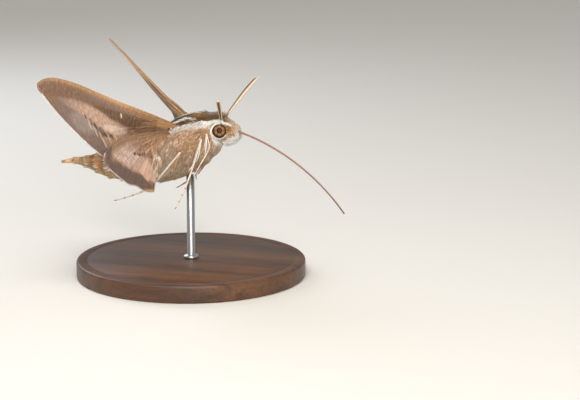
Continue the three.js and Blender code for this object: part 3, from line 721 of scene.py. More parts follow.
def body_coat(low, high, count, length, width, lift, droop, dice, lock=26, spread=0.2):
    """Blades on a stretch of the body, 'lock' to a lock; droop turns their lie down the flank."""
    x, turn = roots_on_body(low, high, count, dice, clear_of_eye)
    root, back_way, up_way, outward = body_frame(x, turn)
    level = side_level(turn)
    long, broad, rise, sag = (np.broadcast_to(f(x, level) if callable(f) else f, len(x))
                              for f in (length, width, lift, droop))
    lie = back_way - up_way * sag[:, None]
    chief = locks(x, turn, len(x) // lock, dice)
    gather = (root[chief] - root)
    gather = gather - lie * np.sum(gather * lie, -1, keepdims=True)
    lie = lie + 0.30 * gather / long[:, None] + dice.normal(0, 0.10, (len(x), 3))[chief]
    lie = lie + dice.normal(0, 0.08, (len(x), 3))
    rise = rise * dice.uniform(0.8, 1.2, len(x))[chief]
    jitter_x, jitter_turn = x + dice.normal(0, 0.14, len(x)), turn + dice.normal(0, 0.03, len(x))
    tone = np.exp(dice.normal(0, 0.06, len(x)))[chief]
    long = long * dice.uniform(0.7, 1.3, len(x))
    return blades(root, lie, outward, long, broad, rise,
                  body_colours(jitter_x, jitter_turn) * tone[:, None], body_place(x, turn), dice,
                  spread)


def strands(count, low, high, length, width, lift, droop, codes, dice, slant=0.0):
    """Single long strands on both sides between two places (x, level), in one of the codes; the
    level goes up by slant degrees a millimetre."""
    x, level = (dice.uniform(a, b, count) for a, b in zip(low, high))
    level = level + slant * (x - (low[0] + high[0]) / 2)
    turn = np.radians(level)
    turn = np.where(dice.random(count) < 0.5, np.pi - turn, turn)
    root, back_way, up_way, outward = body_frame(x, turn)
    lie = back_way - up_way * droop + dice.normal(0, 0.12, (count, 3))
    paint = np.array([linear(code) for code in codes])[dice.integers(0, len(codes), count)]
    return blades(root + outward * 0.12, lie, outward, length * dice.uniform(0.7, 1.2, count),
                  width, lift, paint, body_place(x, turn % (2 * np.pi)), dice, 0.10)


def nape(x, level):
    """1 on top of the neck and of the crown, where the fur stands up, easing to 0 round it."""
    return ease((level - 52) / 16) * inside(x, 7.6, 1.7, 1.2)


def thorax_length(x, level):
    """Long on the flanks and breast, shorter on the back, longer again at the nape."""
    return (1.55 - 0.6 * ease((level - 25) / 25) - 0.45 * ease((x - 3.5) / 2.2)
            + 0.2 * ease((-x - 3) / 3) + 0.6 * nape(x, level))


def thorax_droop(x, level):
    """How far the fur turns down the side: most on the flank, none on the back."""
    return 0.70 * inside(level, -5, 28, 30) + 0.3 * ease((-35 - level) / 25)


def thorax_lift(x, level):
    """Flat on the back, a little fuller on the flank, and standing up at the nape."""
    return 0.34 + 0.06 * ease((20 - level) / 20) + nape(x, level)


thorax_coat = body_coat(-7.6, 6.2, 19000, thorax_length, 0.15, thorax_lift, thorax_droop, dice, 26)
joined_blades("thorax_coat", [thorax_coat], fur, "thorax_fur")

# %% Long strands of the thorax
WHITE, GOLD, BROWN = "#fdfaf5", "#dfb48a", "#946e4c"
long_strands = [
    strands(900, (-3.5, -34), (4.6, 20), 2.2, 0.09, 0.24, 0.65,
            (GOLD, "#ecd2bc", "#f8ecde", "#d0a882", "#b48a64"), dice),
    strands(640, (-4.4, -7), (0.3, 5), 2.3, 0.09, 0.32, 0.55,
            (WHITE, "#ffe9d2", "#f2d2b0", "#dcb089", "#c99c72"), dice, 5.5),
    strands(260, (-4.6, -10), (-2.4, 20), 2.6, 0.11, 0.20, 1.0, (GOLD, "#c98f55", WHITE), dice),
    strands(420, (1.2, 34), (6.0, 39), 0.85, 0.10, 0.36, 0.3,
            (WHITE, WHITE, "#f4eee8", "#a9825f"), dice),
    strands(420, (-2.8, 22), (1.6, 36), 1.3, 0.10, 0.30, 0.6,
            ("#e9cdb8", "#d2ae94", "#a9826a", "#fdf6ee"), dice),
    strands(110, (-2.6, 39), (1.2, 43), 0.9, 0.09, 0.34, 0.2, (WHITE,), dice),
    strands(300, (-3.2, 56), (-0.4, 68), 1.5, 0.10, 0.25, 0.1, (WHITE, "#e2cfb4", BROWN), dice),
    strands(420, (4.4, -70), (6.0, -25), 1.3, 0.10, 0.34, 0.4, ("#f3e8dc", "#dcc3a8", "#b48e6a"),
            dice),
    strands(700, (-6.5, -80), (3.6, -26), 1.4, 0.10, 0.30, 0.5, ("#f0e2cc", "#d8bb94", "#9a744e"),
            dice),
    strands(420, (-4.5, 80), (4.4, 86), 0.8, 0.08, 0.24, 0.0, (WHITE, WHITE, "#f4ece0"), dice),
]
joined_blades("thorax_strands", long_strands, fur, "thorax_fur")

# %% Coat of the head and of the abdomen


def head_length(x, level):
    """Short on the brow and round the eye, longer at the nape and under the chin."""
    return (0.42 + 0.35 * ease((7.0 - x) / 1.2) + 0.25 * ease((-26 - level) / 24)
            + 0.75 * nape(x, level))


def head_lift(x, level):
    """Flat round the eye, standing up on the nape."""
    return 0.36 + nape(x, level)


def eye_ring(side, dice):
    """Short white tufts round the back of the eye, on a ring of angles about its middle, each
    lying away from the eye."""
    count = 420
    a = np.radians(dice.uniform(75, 325, count))
    away = EYE_SIZE[0] * dice.uniform(0.90, 1.0, count)
    x, z = EYE[0] + away * np.cos(a), EYE[2] + away * np.sin(a)
    root = np.stack([x, side * (flank(x, z) + 0.10), z + FLIGHT], -1)
    lie = np.stack([np.cos(a) - 0.5 * np.sin(a), 0 * a, np.sin(a) + 0.5 * np.cos(a)], -1)
    lie = lie + dice.normal(0, 0.12, (count, 3))
    where = np.stack([0.02 + 0.96 * (x - TAIL_END) / (BROW - TAIL_END), 0.3 + 0.06 * a], -1)
    return blades(root, lie, np.broadcast_to([0.0, side, 0.0], (count, 3)), 0.42, 0.11, 0.22,
                  np.broadcast_to(linear("#fffdfa"), (count, 3)), where, dice, 0.08)


head_coat = body_coat(5.9, BROW - 0.05, 10500, head_length, 0.10, head_lift, 0.12, dice, 16, 0.24)
joined_blades("head_coat", [head_coat, eye_ring(-1, dice), eye_ring(1, dice)], fur, "head_fur")


def abdomen_length(x, level):
    """Scales longer at each ring's back edge, where they overhang the next ring."""
    phase = ring_phase(x)[1]
    return (0.5 + 0.30 * ease((phase - 0.7) / 0.2)) * (1 - 0.25 * ease((-18 - x) / 10))


def abdomen_lift(x, level):
    """Flat, but lifted along the ring's edge, most of all under the belly."""
    phase = ring_phase(x)[1]
    return 0.16 + 0.22 * ease((phase - 0.7) / 0.2) * (1 + 1.4 * ease((-20 - level) / 25))


abdomen_coat = body_coat(TAIL_END + 0.1, -7.0, 17000, abdomen_length, 0.14, abdomen_lift, 0.0,
                         dice, 14, 0.34)
joined_blades("abdomen_coat", [abdomen_coat], fur, "abdomen_scales")

# %% [markdown]
# Eyes
# A compound eye is a dome of thousands of facets, so fine that it looks like satin glass. Its
# colour comes in rings about the way towards the camera: a dark spot in the middle with a thin
# light ring, a warm brown field with six dusky spots, and a dark rim. These rings are painted
# light and shade, the pseudopupil, which a real eye shows only along the line it is seen from.
# The dome is a grid of angles from its middle, and the facets are a bump of cells. Real facets
# are 0.03 mm, drawn here at 0.07 mm.

# %% Eyes
eye_glass, tree, out = new_finish("compound eye")
marking = node(tree, "ShaderNodeAttribute", attribute_name="Marking")
place = node(tree, "ShaderNodeTexCoord")
facets = node(tree, "ShaderNodeTexVoronoi", [(place, "Object", "Vector")], scale=1 / (0.07 * MM))
dome = node(tree, "ShaderNodeBump", [(facets, "Distance", "Height")], strength=0.25,
            distance=0.012 * MM)
dome.invert = True
surface(tree, out, [(marking, "Color", "Base Color"), (dome, "Normal", "Normal")],
        roughness=0.40, ior=1.5, specular_ior_level=0.14, coat_weight=0.05, coat_roughness=0.25)


DOME_RINGS, DOME_SIDES = 72, 96


def eye_dome(side):
    """An ellipsoid on a grid of angles about its own outward axis, poles closed by fans."""
    polar = np.linspace(0.02, np.pi - 0.02, DOME_RINGS)[:, None]
    round_it = np.linspace(0, 2 * np.pi, DOME_SIDES, endpoint=False)[None]
    ball = np.stack([np.sin(polar) * np.cos(round_it), np.cos(polar) + 0 * round_it,
                     np.sin(polar) * np.sin(round_it)], -1)
    rings = ball * EYE_SIZE * [1, side, 1] + EYE * [1, side, 1] + BODY_LIFT
    points, faces = close_tube(rings), tube_faces(DOME_RINGS, DOME_SIDES)
    return points, faces if side > 0 else [f[:, ::-1] for f in faces]


def eye_colours(points, side):
    """Painted light and shade: rings by the distance from the point that faces the camera, and six
    dusky spots round it.
    """
    # The camera's direction: the pseudopupil's painted light and shade centre on it.
    looks = unit(np.array([0.302, side * 0.93, 0.208]))
    sphere = unit((points - BODY_LIFT - EYE * [1, side, 1]) / EYE_SIZE)
    facing = sphere @ looks
    across = unit(np.cross([0, 0, 1.0], looks))
    a, b = sphere @ across, sphere @ unit(np.cross(looks, across))
    away = np.where(facing > 0, np.hypot(a, b), 1.0)
    stops = [0.0, 0.09, 0.14, 0.19, 0.24, 0.35, 0.42, 0.60, 0.76, 0.86, 1.0]
    codes = ["#33150f", "#2c120d", "#6b4334", "#5d382b", "#1a0a07", "#1f0e09", "#84613f", "#a07a4c",
             "#6f4e30", "#27150b", "#1e0f08"]
    paint = np.array([linear(code) for code in codes])
    colours = np.stack([np.interp(away, stops, paint[:, k]) for k in range(3)], -1)
    six = np.cos(6 * np.arctan2(b, a))
    return tint(colours, "#4a2f1c", inside(away, 0.62, 0.05, 0.08) * ease((six - 0.1) / 0.7) * 0.8)


for side, word in ((-1, "right"), (1, "left")):
    points, faces = eye_dome(side)
    fit(build(f"eye_dome_{word}", points, faces, eye_colours(points, side)), eye_glass, "eye",
        f"eye_{word}")

# %% [markdown]
# Palps
# Two upturned lobes close the front of the face. They are white below, streaked tan on the side
# and rosy in front, with a dusky tip and short fur that lies forward and up along them. Each is
# a tube along a curve, swollen in its middle, with a flat inner side where it meets the other.

# %% Palps
palp_paths = {side: np.array([
    [8.2, side * 1.15, 1.5], [9.4, side * 1.2, 1.75], [10.35, side * 1.2, 2.5],
    [10.8, side * 1.1, 3.4], [10.85, side * 0.95, 4.2], [10.6, side * 0.85, 4.75]])
              for side in (-1, 1)}


PALP_RINGS, PALP_COAT = 40, 0.12             # the skin lies this many mm inside the coat


def palp_surface(side, sides=28):
    """Rings round the palp's curve, their inner half pressed flat at the middle of the face."""
    path = curve(palp_paths[side], PALP_RINGS)
    t = np.linspace(0, 1, PALP_RINGS)
    swell = 0.35 + 0.75 * np.sin(np.pi * np.minimum(1, 0.14 + 0.82 * t)) ** 0.7 - PALP_COAT
    rings = tube(path, swell, swell, (0, side, 0), sides)
    rings[..., 1] = side * np.maximum(rings[..., 1] * side, 0.17 + PALP_COAT)
    return rings + BODY_LIFT


def palp_colours(points):
    """White along the lower edge, a streaked tan side, a rosy front and a dusky tip."""
    x, y, z = (points - BODY_LIFT).T
    front = ease((z - 2.6) / 0.7) * ease((x - 11.0) / 0.4)
    side_patch = ease((z - 1.75 - 0.36 * (x - 9.1)) / 0.4) * ease((11.45 - x) / 0.4)
    return layered(
        "#fbf7f2", x,
        ("#d9c3b4", front * 0.8),
        ("#b08f7a", front * ease((np.sin(9 * y) - 0.2) / 0.6) * 0.6),
        ("#c9a179", side_patch * 0.95),
        ("#8a6445", side_patch * ease((np.sin(8 * z + 5 * x) - 0.35) / 0.5) * 0.55),
        ("#92786a", ease((z - 4.6) / 0.5) * 0.75))


for side, word in ((-1, "right"), (1, "left")):
    rings = palp_surface(side)
    points = close_tube(rings)
    # The lobe's skin is its coat's colour times 0.85: painted shade, as the roots of the fur are in
    # shadow.
    fit(build(f"palp_lobe_{word}", points, tube_faces(*rings.shape[:2]),
              palp_colours(points) * 0.85), limb_scales, "palp_scales", f"palp_{word}")
    outward = unit(rings - rings.mean(1, keepdims=True))
    ahead = unit(np.gradient(rings, axis=0))
    count = 2600
    i, j = dice.integers(1, PALP_RINGS - 2, count), dice.integers(0, rings.shape[1], count)
    keep = np.abs(rings[i, j, 1]) > 0.35
    i, j = i[keep], j[keep]
    root = rings[i, j] + dice.normal(0, 0.04, (len(i), 3))
    where = np.stack([0.02 + 0.96 * i / PALP_RINGS, 0.02 + 0.96 * j / rings.shape[1]], -1)
    below = ease((FLIGHT + 3.4 - root[:, 2]) / 1.2)
    coat = blades(root, ahead[i, j] + dice.normal(0, 0.28, (len(i), 3)), outward[i, j],
                  dice.uniform(0.35, 0.80, len(i)) * (1 + 0.4 * below), 0.11, 0.42 + 0.60 * below,
                  palp_colours(root), where, dice, 0.30)
    joined_blades(f"palp_coat_{word}", [coat], fur, "palp_scales")

# %% [markdown]
# Feelers and tongue
# A hawk moth's feeler thickens along its length and ends in a fine hook. It has a ring at every
# joint, tan scales on its edges and a dark line down its middle. The tongue is two half tubes
# zipped together, ringed like a hose, so its section is slightly grooved above and below.

# %% Feelers
FEELERS = {
    "right": (np.array([7.9, -1.2, 6.3]), unit(np.array([0.255, -0.84, 0.48])), 13.4),
    "left": (np.array([7.9, 1.2, 6.3]), unit(np.array([0.335, 0.735, 0.6])), 13.9),
}
JOINTS = 58
for word, (root, aim, length) in FEELERS.items():
    down = unit(np.array([0, 0, -1.0]) + aim * aim[2])
    shape = [(-0.03, 0), (0.3, -0.25), (0.6, -0.35), (0.85, -0.2), (0.96, 0.05), (1, 0.5)]
    path = curve([root + aim * length * s + down * d for s, d in shape], 360)
    t = np.linspace(0, 1, len(path))
    body = np.where(t < 0.86, 0.30 + 0.22 * ease(t / 0.7), 0.52 - 0.40 * ease((t - 0.86) / 0.14))
    beads = 1 - 0.10 * np.abs(np.sin(np.pi * JOINTS * t)) ** 6
    rings = tube(path, body * beads, body * beads * 0.86, down, 24) + BODY_LIFT
    turn = np.linspace(0, 2 * np.pi, 24, endpoint=False)
    along, edge = np.meshgrid(t, np.abs(np.cos(turn)), indexing="ij")
    colours = layered(
        "#5f4330", along,
        ("#e6d4ba", ease((edge - 0.42) / 0.2)),
        ("#e9e0d2", ease((along - 0.90) / 0.06)),
        ("#e6d9c6", ease((0.06 - along) / 0.05)),
        ("#4c3526", inside(along * JOINTS % 1, 0.5, 0.06, 0.12) * 0.55))
    colours = np.concatenate([colours.reshape(-1, 3), colours[[0, -1], 0]])
    fit(build(f"feeler_{word}", close_tube(rings), tube_faces(*rings.shape[:2]), colours),
        limb_scales, "antenna", f"antenna_{word}")

# %% Tongue
TONGUE, HOOPS = 30.0, 130                    # mm from the mouth on, and the rings along it
dips = np.radians(17 + 1.2 * 3.0 * (np.arange(10) + 0.5))
steps = np.stack([np.cos(dips), 0 * dips, -np.sin(dips)], -1) * TONGUE / 10
mouth = np.array([12.05, 0, 3.55])
path = curve(np.vstack([[10.3, 0, 4.15], mouth, mouth + np.cumsum(steps, 0)]), 420)
t = np.linspace(0, 1, len(path))
thick = 0.26 * (1 - 0.32 * t) * (1 + 0.05 * np.sin(2 * np.pi * HOOPS * t))
rings = tube(path, thick, thick, (0, 0, 1), 20)
groove = 1 - 0.22 * np.abs(np.sin(np.linspace(0, 2 * np.pi, 20, endpoint=False))) ** 6
rings = path[:, None] + (rings - path[:, None]) * groove[None, :, None] + BODY_LIFT
along = np.repeat(t, 20)
colours = layered(
    "#7d5142", along,
    ("#b98a72", inside(along * HOOPS % 1, 0.5, 0.2, 0.2) * 0.5),
    ("#4a2f27", ease((along - 0.75) / 0.25) * 0.6))
colours = np.concatenate([colours, colours[[0, -1]]])
horn, tree, out = new_finish("tongue skin")
marking = node(tree, "ShaderNodeAttribute", attribute_name="Marking")
surface(tree, out, [(marking, "Color", "Base Color")], roughness=0.38, ior=1.56)
fit(build("tongue", close_tube(rings), tube_faces(*rings.shape[:2]), colours), horn, "tongue",
    "proboscis")

# %% [markdown]
# Legs
# Each leg is a femur, a shin and a foot of five short joints with a pair of claws, and the shin
# carries two spurs. They are tubes along the same joints as the solids, swollen where the
# muscles are. White scales line their edges with a brown line between, and the feet are pale
# with orange brown edges and a dark ring at each joint.

# %% Legs
LEGS = {
    # side, hip, femur, knee, heel, three places on the foot, off the flank, aside, spur
    "foreleg_right": (-1, (4.2, -1.9), (5.4, 0.6), (5.7, 3.4), (5.9, 0.3),
                      [(4.95, -1.5), (3.8, -3.5), (2.0, -6.5)], (0.9, 1.0),
                      (-0.3, -0.5, -0.2, -0.5), 1.5),
    "midleg_right": (-1, (1.6, -4.0), (3.6, -1.4), (4.62, 2.3), (2.3, -5.6),
                     [(1.4, -8.2), (0.2, -10.6), (-1.2, -13.3)], (0.8, 0.95),
                     (1.6, 2.0, 1.8, 1.6), 2.8),
    "hindleg_right": (-1, (-2.6, -5.6), (-1.8, -3.8), (-0.2, -0.8), (-6.0, -7.8),
                      [(-9.1, -10.0), (-12.4, -11.4), (-15.8, -12.6)], (0.2, 0.95),
                      (1.2, 1.0, 0.8, 0.6), 1.7),
    "foreleg_left": (1, (4.0, -2.1), (4.9, 0.4), (5.2, 2.9), (4.2, -1.7),
                     [(3.15, -3.5), (1.85, -5.4), (0.5, -7.2)], (0.9, 1.0),
                     (-0.3, -0.5, -0.2, -0.1), 1.5),
    "midleg_left": (1, (1.6, -4.0), (3.2, -1.4), (3.4, 1.8), (0.3, -6.3),
                    [(-1.6, -8.3), (-3.5, -9.9), (-5.4, -11.2)], (0.8, 0.95),
                    (1.4, 2.0, 1.8, 1.2), 2.6),
    "hindleg_left": (1, (-2.6, -5.6), (-1.9, -3.8), (-0.8, -1.6), (-6.8, -7.4),
                     [(-10.4, -8.6), (-13.6, -9.2), (-16.6, -9.9)], (0.2, 0.95),
                     (1.2, 1.0, 0.8, 0.6), 1.7),
}


def leg_part(joints, thick, count, sides, paint, side):
    """A tube through joints, thick given at even steps along it, coloured by paint(t, turn), where
    a turn of 90 degrees is the leg's outer face."""
    path = curve(joints, count)
    t = np.linspace(0, 1, count)
    r = np.interp(t, np.linspace(0, 1, len(thick)), thick)
    rings = tube(path, r * 0.82, r, (0.15, side, 0.1), sides)
    a = np.linspace(0, 2 * np.pi, sides, endpoint=False)
    colours = paint(np.repeat(t, sides), np.tile(a, count))
    colours = np.concatenate([colours, colours[[0, -1]]])
    return close_tube(rings + BODY_LIFT), tube_faces(count, sides), colours


def white_above(t, turn):
    """White scales along both edges, a brown line down the outer face, tan within."""
    return layered(
        "#fdf9f3", t,
        ("#a57f60", ease((np.sin(turn) - 0.80) / 0.15) * 0.85),
        ("#a9794f", ease((-np.sin(turn) - 0.2) / 0.5) * 0.85))


def thigh_colours(t, turn):
    """Golden tan, as the flank's fur it lies in, paler to the knee."""
    return layered(
        "#c9a47c", t,
        ("#f6ede2", ease((t - 0.8) / 0.2)))


def foot_colours(t, turn):
    """Pale along the outside with orange brown edges, and a dark ring at each of five joints."""
    return layered(
        "#b87f57", t,
        ("#f6e6d8", ease((np.sin(turn) - 0.1) / 0.5) * 0.9),
        ("#5b3a28", inside((t * 5) % 1, 0.98, 0.05, 0.08) * 0.8))


def plain_spur(t, turn):
    """Cream, darker at the tip."""
    return layered(
        "#e3d6c4", t,
        ("#8a6245", ease((t - 0.5) / 0.5) * 0.7))


def claw_colours(t, turn):
    """Dark brown horn."""
    return layered("#4a2d1e", t)


def joined_parts(name, parts, finish, slot, *nodes):
    """Several closed shapes as one mesh, with their plan maps where they have one."""
    starts = np.cumsum([0] + [len(p[0]) for p in parts[:-1]])
    faces = [f + s for part, s in zip(parts, starts) for f in part[1]]
    plan_map = np.concatenate([p[3] for p in parts]) if len(parts[0]) > 3 else None
    piece = build(name, np.concatenate([p[0] for p in parts]), faces,
                  np.concatenate([p[2] for p in parts]), plan_map, "Plan")
    return fit(piece, finish, slot, *nodes)


leg_roots = []
for name, (side, hip, femur, knee, heel, foot, off, aside, spur) in LEGS.items():
    def beside(place, out_by):
        return np.array([place[0], side * (flank(*place) + out_by), place[1]])

    def clear(place, out_by):
        return np.array([place[0], side * (flank(*knee) + out_by), place[1]])

    root, thigh, bend = beside(hip, -0.9), beside(femur, off[0]), beside(knee, off[1])
    ankle = clear(heel, aside[0])
    toes = [clear(place, a) for place, a in zip(foot, aside[1:])]
    shin = unit(ankle - bend)
    toe = unit(toes[2] - toes[1])
    parts = [
        leg_part([root, thigh, bend], [0.26, 0.36, 0.38, 0.31, 0.24], 30, 14,
                 thigh_colours if "hind" in name else white_above, side),
        leg_part([bend - shin * 0.2, bend + (ankle - bend) * 0.5, ankle],
                 [0.22, 0.27, 0.25, 0.22], 24, 14, white_above, side),
        leg_part([ankle - shin * 0.2, *toes],
                 [0.28, 0.22, 0.26, 0.20, 0.24, 0.18, 0.22, 0.16, 0.20, 0.14, 0.17], 60, 12,
                 foot_colours, side),
    ]
    for share, reach, apart in ((0.72, 0.6, 0.22), (1.0, 0.8, -0.25)):
        start = bend + (ankle - bend) * share
        tip = start + shin * spur * reach + np.array([-0.25, side * apart, 0]) * spur
        parts.append(leg_part([start, (start + tip) / 2, tip], [0.17, 0.14, 0.04], 8, 8, plain_spur,
                              side))
    for spread in (-0.35, 0.35):
        tip = toes[2] + toe * 0.55 + np.array([0, spread, 0.1])
        bow = toes[2] + toe * 0.35 + np.array([0, spread * 0.7, 0.12])
        parts.append(leg_part([toes[2] - toe * 0.1, bow, tip], [0.10, 0.07, 0.02], 7, 6,
                              claw_colours, side))
    joined_parts(f"{name}_scaled", parts, limb_scales, "leg_scales", name)
    leg_roots.append((name, side, root, thigh, bend, ankle))

# %% Fur on the legs
for name, side, root, thigh, bend, ankle in leg_roots:
    path = np.vstack([curve([root, thigh, bend], 50), curve([bend, (bend + ankle) / 2, ankle], 60)])
    ahead = unit(np.gradient(path, axis=0))
    count = 800
    i = dice.integers(20 if "hind" in name else 4, len(path) - 1, count)
    a = dice.uniform(0, 2 * np.pi, count)
    across = unit(np.cross([0.15, side, 0.1], ahead[i]))
    outward = across * np.cos(a)[:, None] + np.cross(ahead[i], across) * np.sin(a)[:, None]
    start = path[i] + outward * 0.18 + BODY_LIFT
    where = np.stack([0.02 + 0.96 * i / len(path), 0.02 + 0.96 * a / (2 * np.pi)], -1)
    coat = blades(start, ahead[i] + dice.normal(0, 0.1, (count, 3)), outward,
                  dice.uniform(0.22, 0.36, count), 0.07, 0.10,
                  tint(white_above(i / len(path), a), "#fffdfa", np.full(count, 0.85)), where,
                  dice, 0.12)
    joined_blades(f"{name}_fur", [coat], fur, "leg_scales")

# %% [markdown]
# Wings
# A wing is a film a few hundredths of a millimetre thick, stretched on hollow veins and tiled
# with scales on both faces. Its plan has four edges: leading, inner, root and outer. Places
# between them are blended from the edges, which is a Coons patch. The plan is then swept, raised
# and rolled, with more roll outwards, and bulged a little, as moving air would bend it.

# %% The wing's surface
FOREWING = dict(
    lead=[(-2.2, -0.5), (3.4, -1.0), (12, -1.7), (20, -2.5), (27, -3.15), (32.2, -2.9),
          (35.2, -1.9), (37.2, -0.3)],
    inner=[(-2.2, 2.2), (3, 4.0), (8, 6.4), (14, 9.6), (20.2, 12.4)],
    outer=[(37.2, -0.3), (36.95, 1.2), (34.9, 3.2), (31.8, 5.7), (28.3, 8.0), (24.2, 10.5),
           (20.2, 12.4)],
    camber=0.8, back_lift=1.5, grid=(230, 96), front=0.34)
HINDWING = dict(
    lead=[(-2.2, -0.2), (2.8, -1.4), (8.8, -2.2), (14.9, -2.7), (20.0, -2.3), (24.5, -0.4)],
    inner=[(-2.2, 1.6), (1.3, 2.9), (3.4, 5.3), (4.5, 8.6), (5.4, 11.8)],
    outer=[(24.5, -0.4), (24.5, 1.7), (21.8, 4.0), (15.8, 7.9), (12.6, 9.0), (9.3, 10.8),
           (5.4, 11.8)],
    camber=0.4, back_lift=0.0, grid=(170, 96), front=0.26)
WINGS = {
    # plan, side, root, sweep, raise, roll at the root, roll further out, mm over which it rolls
    "forewing_right": (FOREWING, -1, (-2.7, 4.0, 4.73), 32.2, 20.2, -24, 29.9, 16),
    "forewing_left": (FOREWING, 1, (-2.0, 4.4, 4.9), 53.9, 23.6, -5, 47.8, 9),
    "hindwing_right": (HINDWING, -1, (-3.6, 5.0, 2.8), 10.8, -1.2, -30, -1.2, 5),
    "hindwing_left": (HINDWING, 1, (-3.4, 5.3, 1.4), 18.0, -1.5, -32, 12.0, 5),
}


def on_edge(points, t):
    """The place at share t of the length of the smooth curve through points, flat at its ends."""
    fine = curve(points, 600, flat_ends=True)
    return np.stack([np.interp(t, np.linspace(0, 1, 600), fine[:, k]) for k in range(2)], -1)


def on_plan(plan, u, v):
    """Coons patch: the blend of leading and inner edge, plus that of root and outer edge, less
    the blend of the four corners. u runs from root to tip, v from front to back."""
    lead, inner = on_edge(plan["lead"], u), on_edge(plan["inner"], u)
    outer = on_edge(plan["outer"], v)
    front, back = np.array(plan["lead"][0]), np.array(plan["inner"][0])
    tip, corner = np.array(plan["outer"][0]), np.array(plan["outer"][-1])
    u, v = u[..., None], v[..., None]
    root = front * (1 - v) + back * v
    return (lead * (1 - v) + inner * v + root * (1 - u) + outer * u
            - root * (1 - u) - (tip * (1 - v) + corner * v) * u)


def on_wing(name, u, v):
    """The plan's place turned into the wing's pose, and how it lies on the plan in mm."""
    plan, side, root, sweep, lift, root_roll, roll, reach = WINGS[name]
    sweep, lift = np.radians([sweep, lift])
    ahead = np.array([-np.sin(sweep) * np.cos(lift), -np.cos(sweep) * np.cos(lift), np.sin(lift)])
    hang = unit(np.array([0, 0, -1.0]) + ahead * ahead[2])
    across = np.cross(ahead, hang)
    flat = on_plan(plan, u, v)
    settle = ease((np.hypot(flat[..., 0], flat[..., 1]) - 1) / reach)
    turn = np.radians(root_roll + (roll - root_roll) * settle)[..., None]
    backward = hang * np.cos(turn) + across * np.sin(turn)
    under = np.cross(ahead, backward)
    bulge = (plan["camber"] * np.sin(np.pi * v) + plan["back_lift"] * v * v) * np.sin(
        np.pi * (0.08 + 0.86 * u))
    point = (np.array([root[0], -root[1], root[2]]) + ahead * flat[..., :1]
             + backward * flat[..., 1:] - under * bulge[..., None])
    if side > 0:
        point = point * np.array([1, -1, 1])
    return point + BODY_LIFT, flat


def wing_normal(name, u, v):
    """Square to the wing, towards its underside."""
    h = 0.004
    along = on_wing(name, np.minimum(1, u + h), v)[0] - on_wing(name, np.maximum(0, u - h), v)[0]
    across = on_wing(name, u, np.minimum(1, v + h))[0] - on_wing(name, u, np.maximum(0, v - h))[0]
    return unit(np.cross(along, across)) * (-WINGS[name][1])


for name in WINGS:
    corners = on_wing(name, np.array([0.0, 1.0]), np.array([0.0, 0.0]))[0]
    print(name, "root to tip", round(float(np.linalg.norm(corners[1] - corners[0])), 1), "mm")

# %% [markdown]
# Wing scales
# Wing scales lie in rows across the wing, each row overlapping the next like roof tiles. The
# rows give fine streaks square to the leading edge, which follow the wing as it bends. So this
# finish reads the wing's own plan, stored as a map in parts of 40 mm. Real rows are 0.1 mm
# apart, drawn here at 0.18 mm so that they show.

# %% Wing finish
PLAN_MAP, ROW = 40, 0.18                     # mm in one part of the map, and between two rows
wing_scales, tree, out = new_finish("wing scales in rows")
marking = node(tree, "ShaderNodeAttribute", attribute_name="Marking")
plan_map = node(tree, "ShaderNodeUVMap", uv_map="Plan")
row_place = node(tree, "ShaderNodeMapping", [(plan_map, "UV", "Vector")],
                 scale=(PLAN_MAP / ROW, PLAN_MAP / 1.6, 1.0))
rows = node(tree, "ShaderNodeTexNoise", [(row_place, "Vector", "Vector")], scale=1.0, detail=2.0)
fine_place = node(tree, "ShaderNodeMapping", [(plan_map, "UV", "Vector")],
                  scale=(PLAN_MAP / 0.12, PLAN_MAP / 0.25, 1.0))
single = node(tree, "ShaderNodeTexVoronoi", [(fine_place, "Vector", "Vector")], scale=1.0)
row_light = node(tree, "ShaderNodeMapRange", [(rows, "Fac", "Value")],
                 from_min=0.28, from_max=0.72, to_min=0.80, to_max=1.20)
scale_light = node(tree, "ShaderNodeMapRange", [(single, "Color", "Value")],
                   from_min=0.0, from_max=1.0, to_min=0.93, to_max=1.07)
light = node(tree, "ShaderNodeMath", [(row_light, "Result", 0), (scale_light, "Result", 1)],
             operation="MULTIPLY")
shade = node(tree, "ShaderNodeVectorMath", [(marking, "Color", 0), (light, "Value", "Scale")],
             operation="SCALE")
tiles = node(tree, "ShaderNodeBump", [(rows, "Fac", "Height")], strength=0.4, distance=0.02 * MM)
surface(tree, out, [(shade, "Vector", "Base Color"), (tiles, "Normal", "Normal")],
        roughness=0.6, ior=1.5, sheen_weight=0.08, **SOFT_SHEEN)
print("rows of scales:", round(37 / ROW), "along the forewing")

# %% [markdown]
# Wing markings
# They are painted on the plan, where x runs out along the wing and y back across it in mm, so
# left and right wings match. The underside has a golden strip behind the leading edge, a brown
# patch, a slanting pale band and a pinkish brown outer part. The upper side is olive brown with
# one long tan band and pale veins, and the hindwing's is black with a rose band.

# %% Colours of the forewing


def lead_edge(plan, x):
    """How far forward the plan's leading edge lies at x."""
    line = curve(plan["lead"], 200)
    return np.interp(x, line[:, 0], line[:, 1])


def ripple(x, y, size, seed):
    """A smooth random field from -1 to 1: a sum of nine waves, their lengths about 'size' mm."""
    waves = np.random.default_rng(seed)
    total = np.zeros_like(x)
    for _ in range(9):
        turn, length = waves.uniform(0, np.pi), size * waves.uniform(0.6, 1.8)
        phase = waves.uniform(0, 6.3)
        total = total + np.sin(2 * np.pi * (x * np.cos(turn) + y * np.sin(turn)) / length + phase)
    return np.clip(total / 4.5, -1, 1)


def comb(x, y, size, seed, lean=0.6, start=1.5):
    """Streaks square to the leading edge that lean to the root behind 'start': nine waves along
    x + lean softplus(y - start), each drifting a little with y."""
    waves = np.random.default_rng(seed)
    place = x + lean * np.log1p(np.exp(1.5 * (y - start))) / 1.5
    total = np.zeros_like(x)
    for _ in range(9):
        length = size * waves.uniform(0.6, 1.7)
        phase, bend = waves.uniform(0, 6.3), waves.uniform(0, 6.3)
        drift = 0.9 * np.sin(2 * np.pi * y / (size * 8) + bend)
        total = total + np.sin(2 * np.pi * place / length + phase + drift)
    return np.clip(total / 4.0, -1, 1)


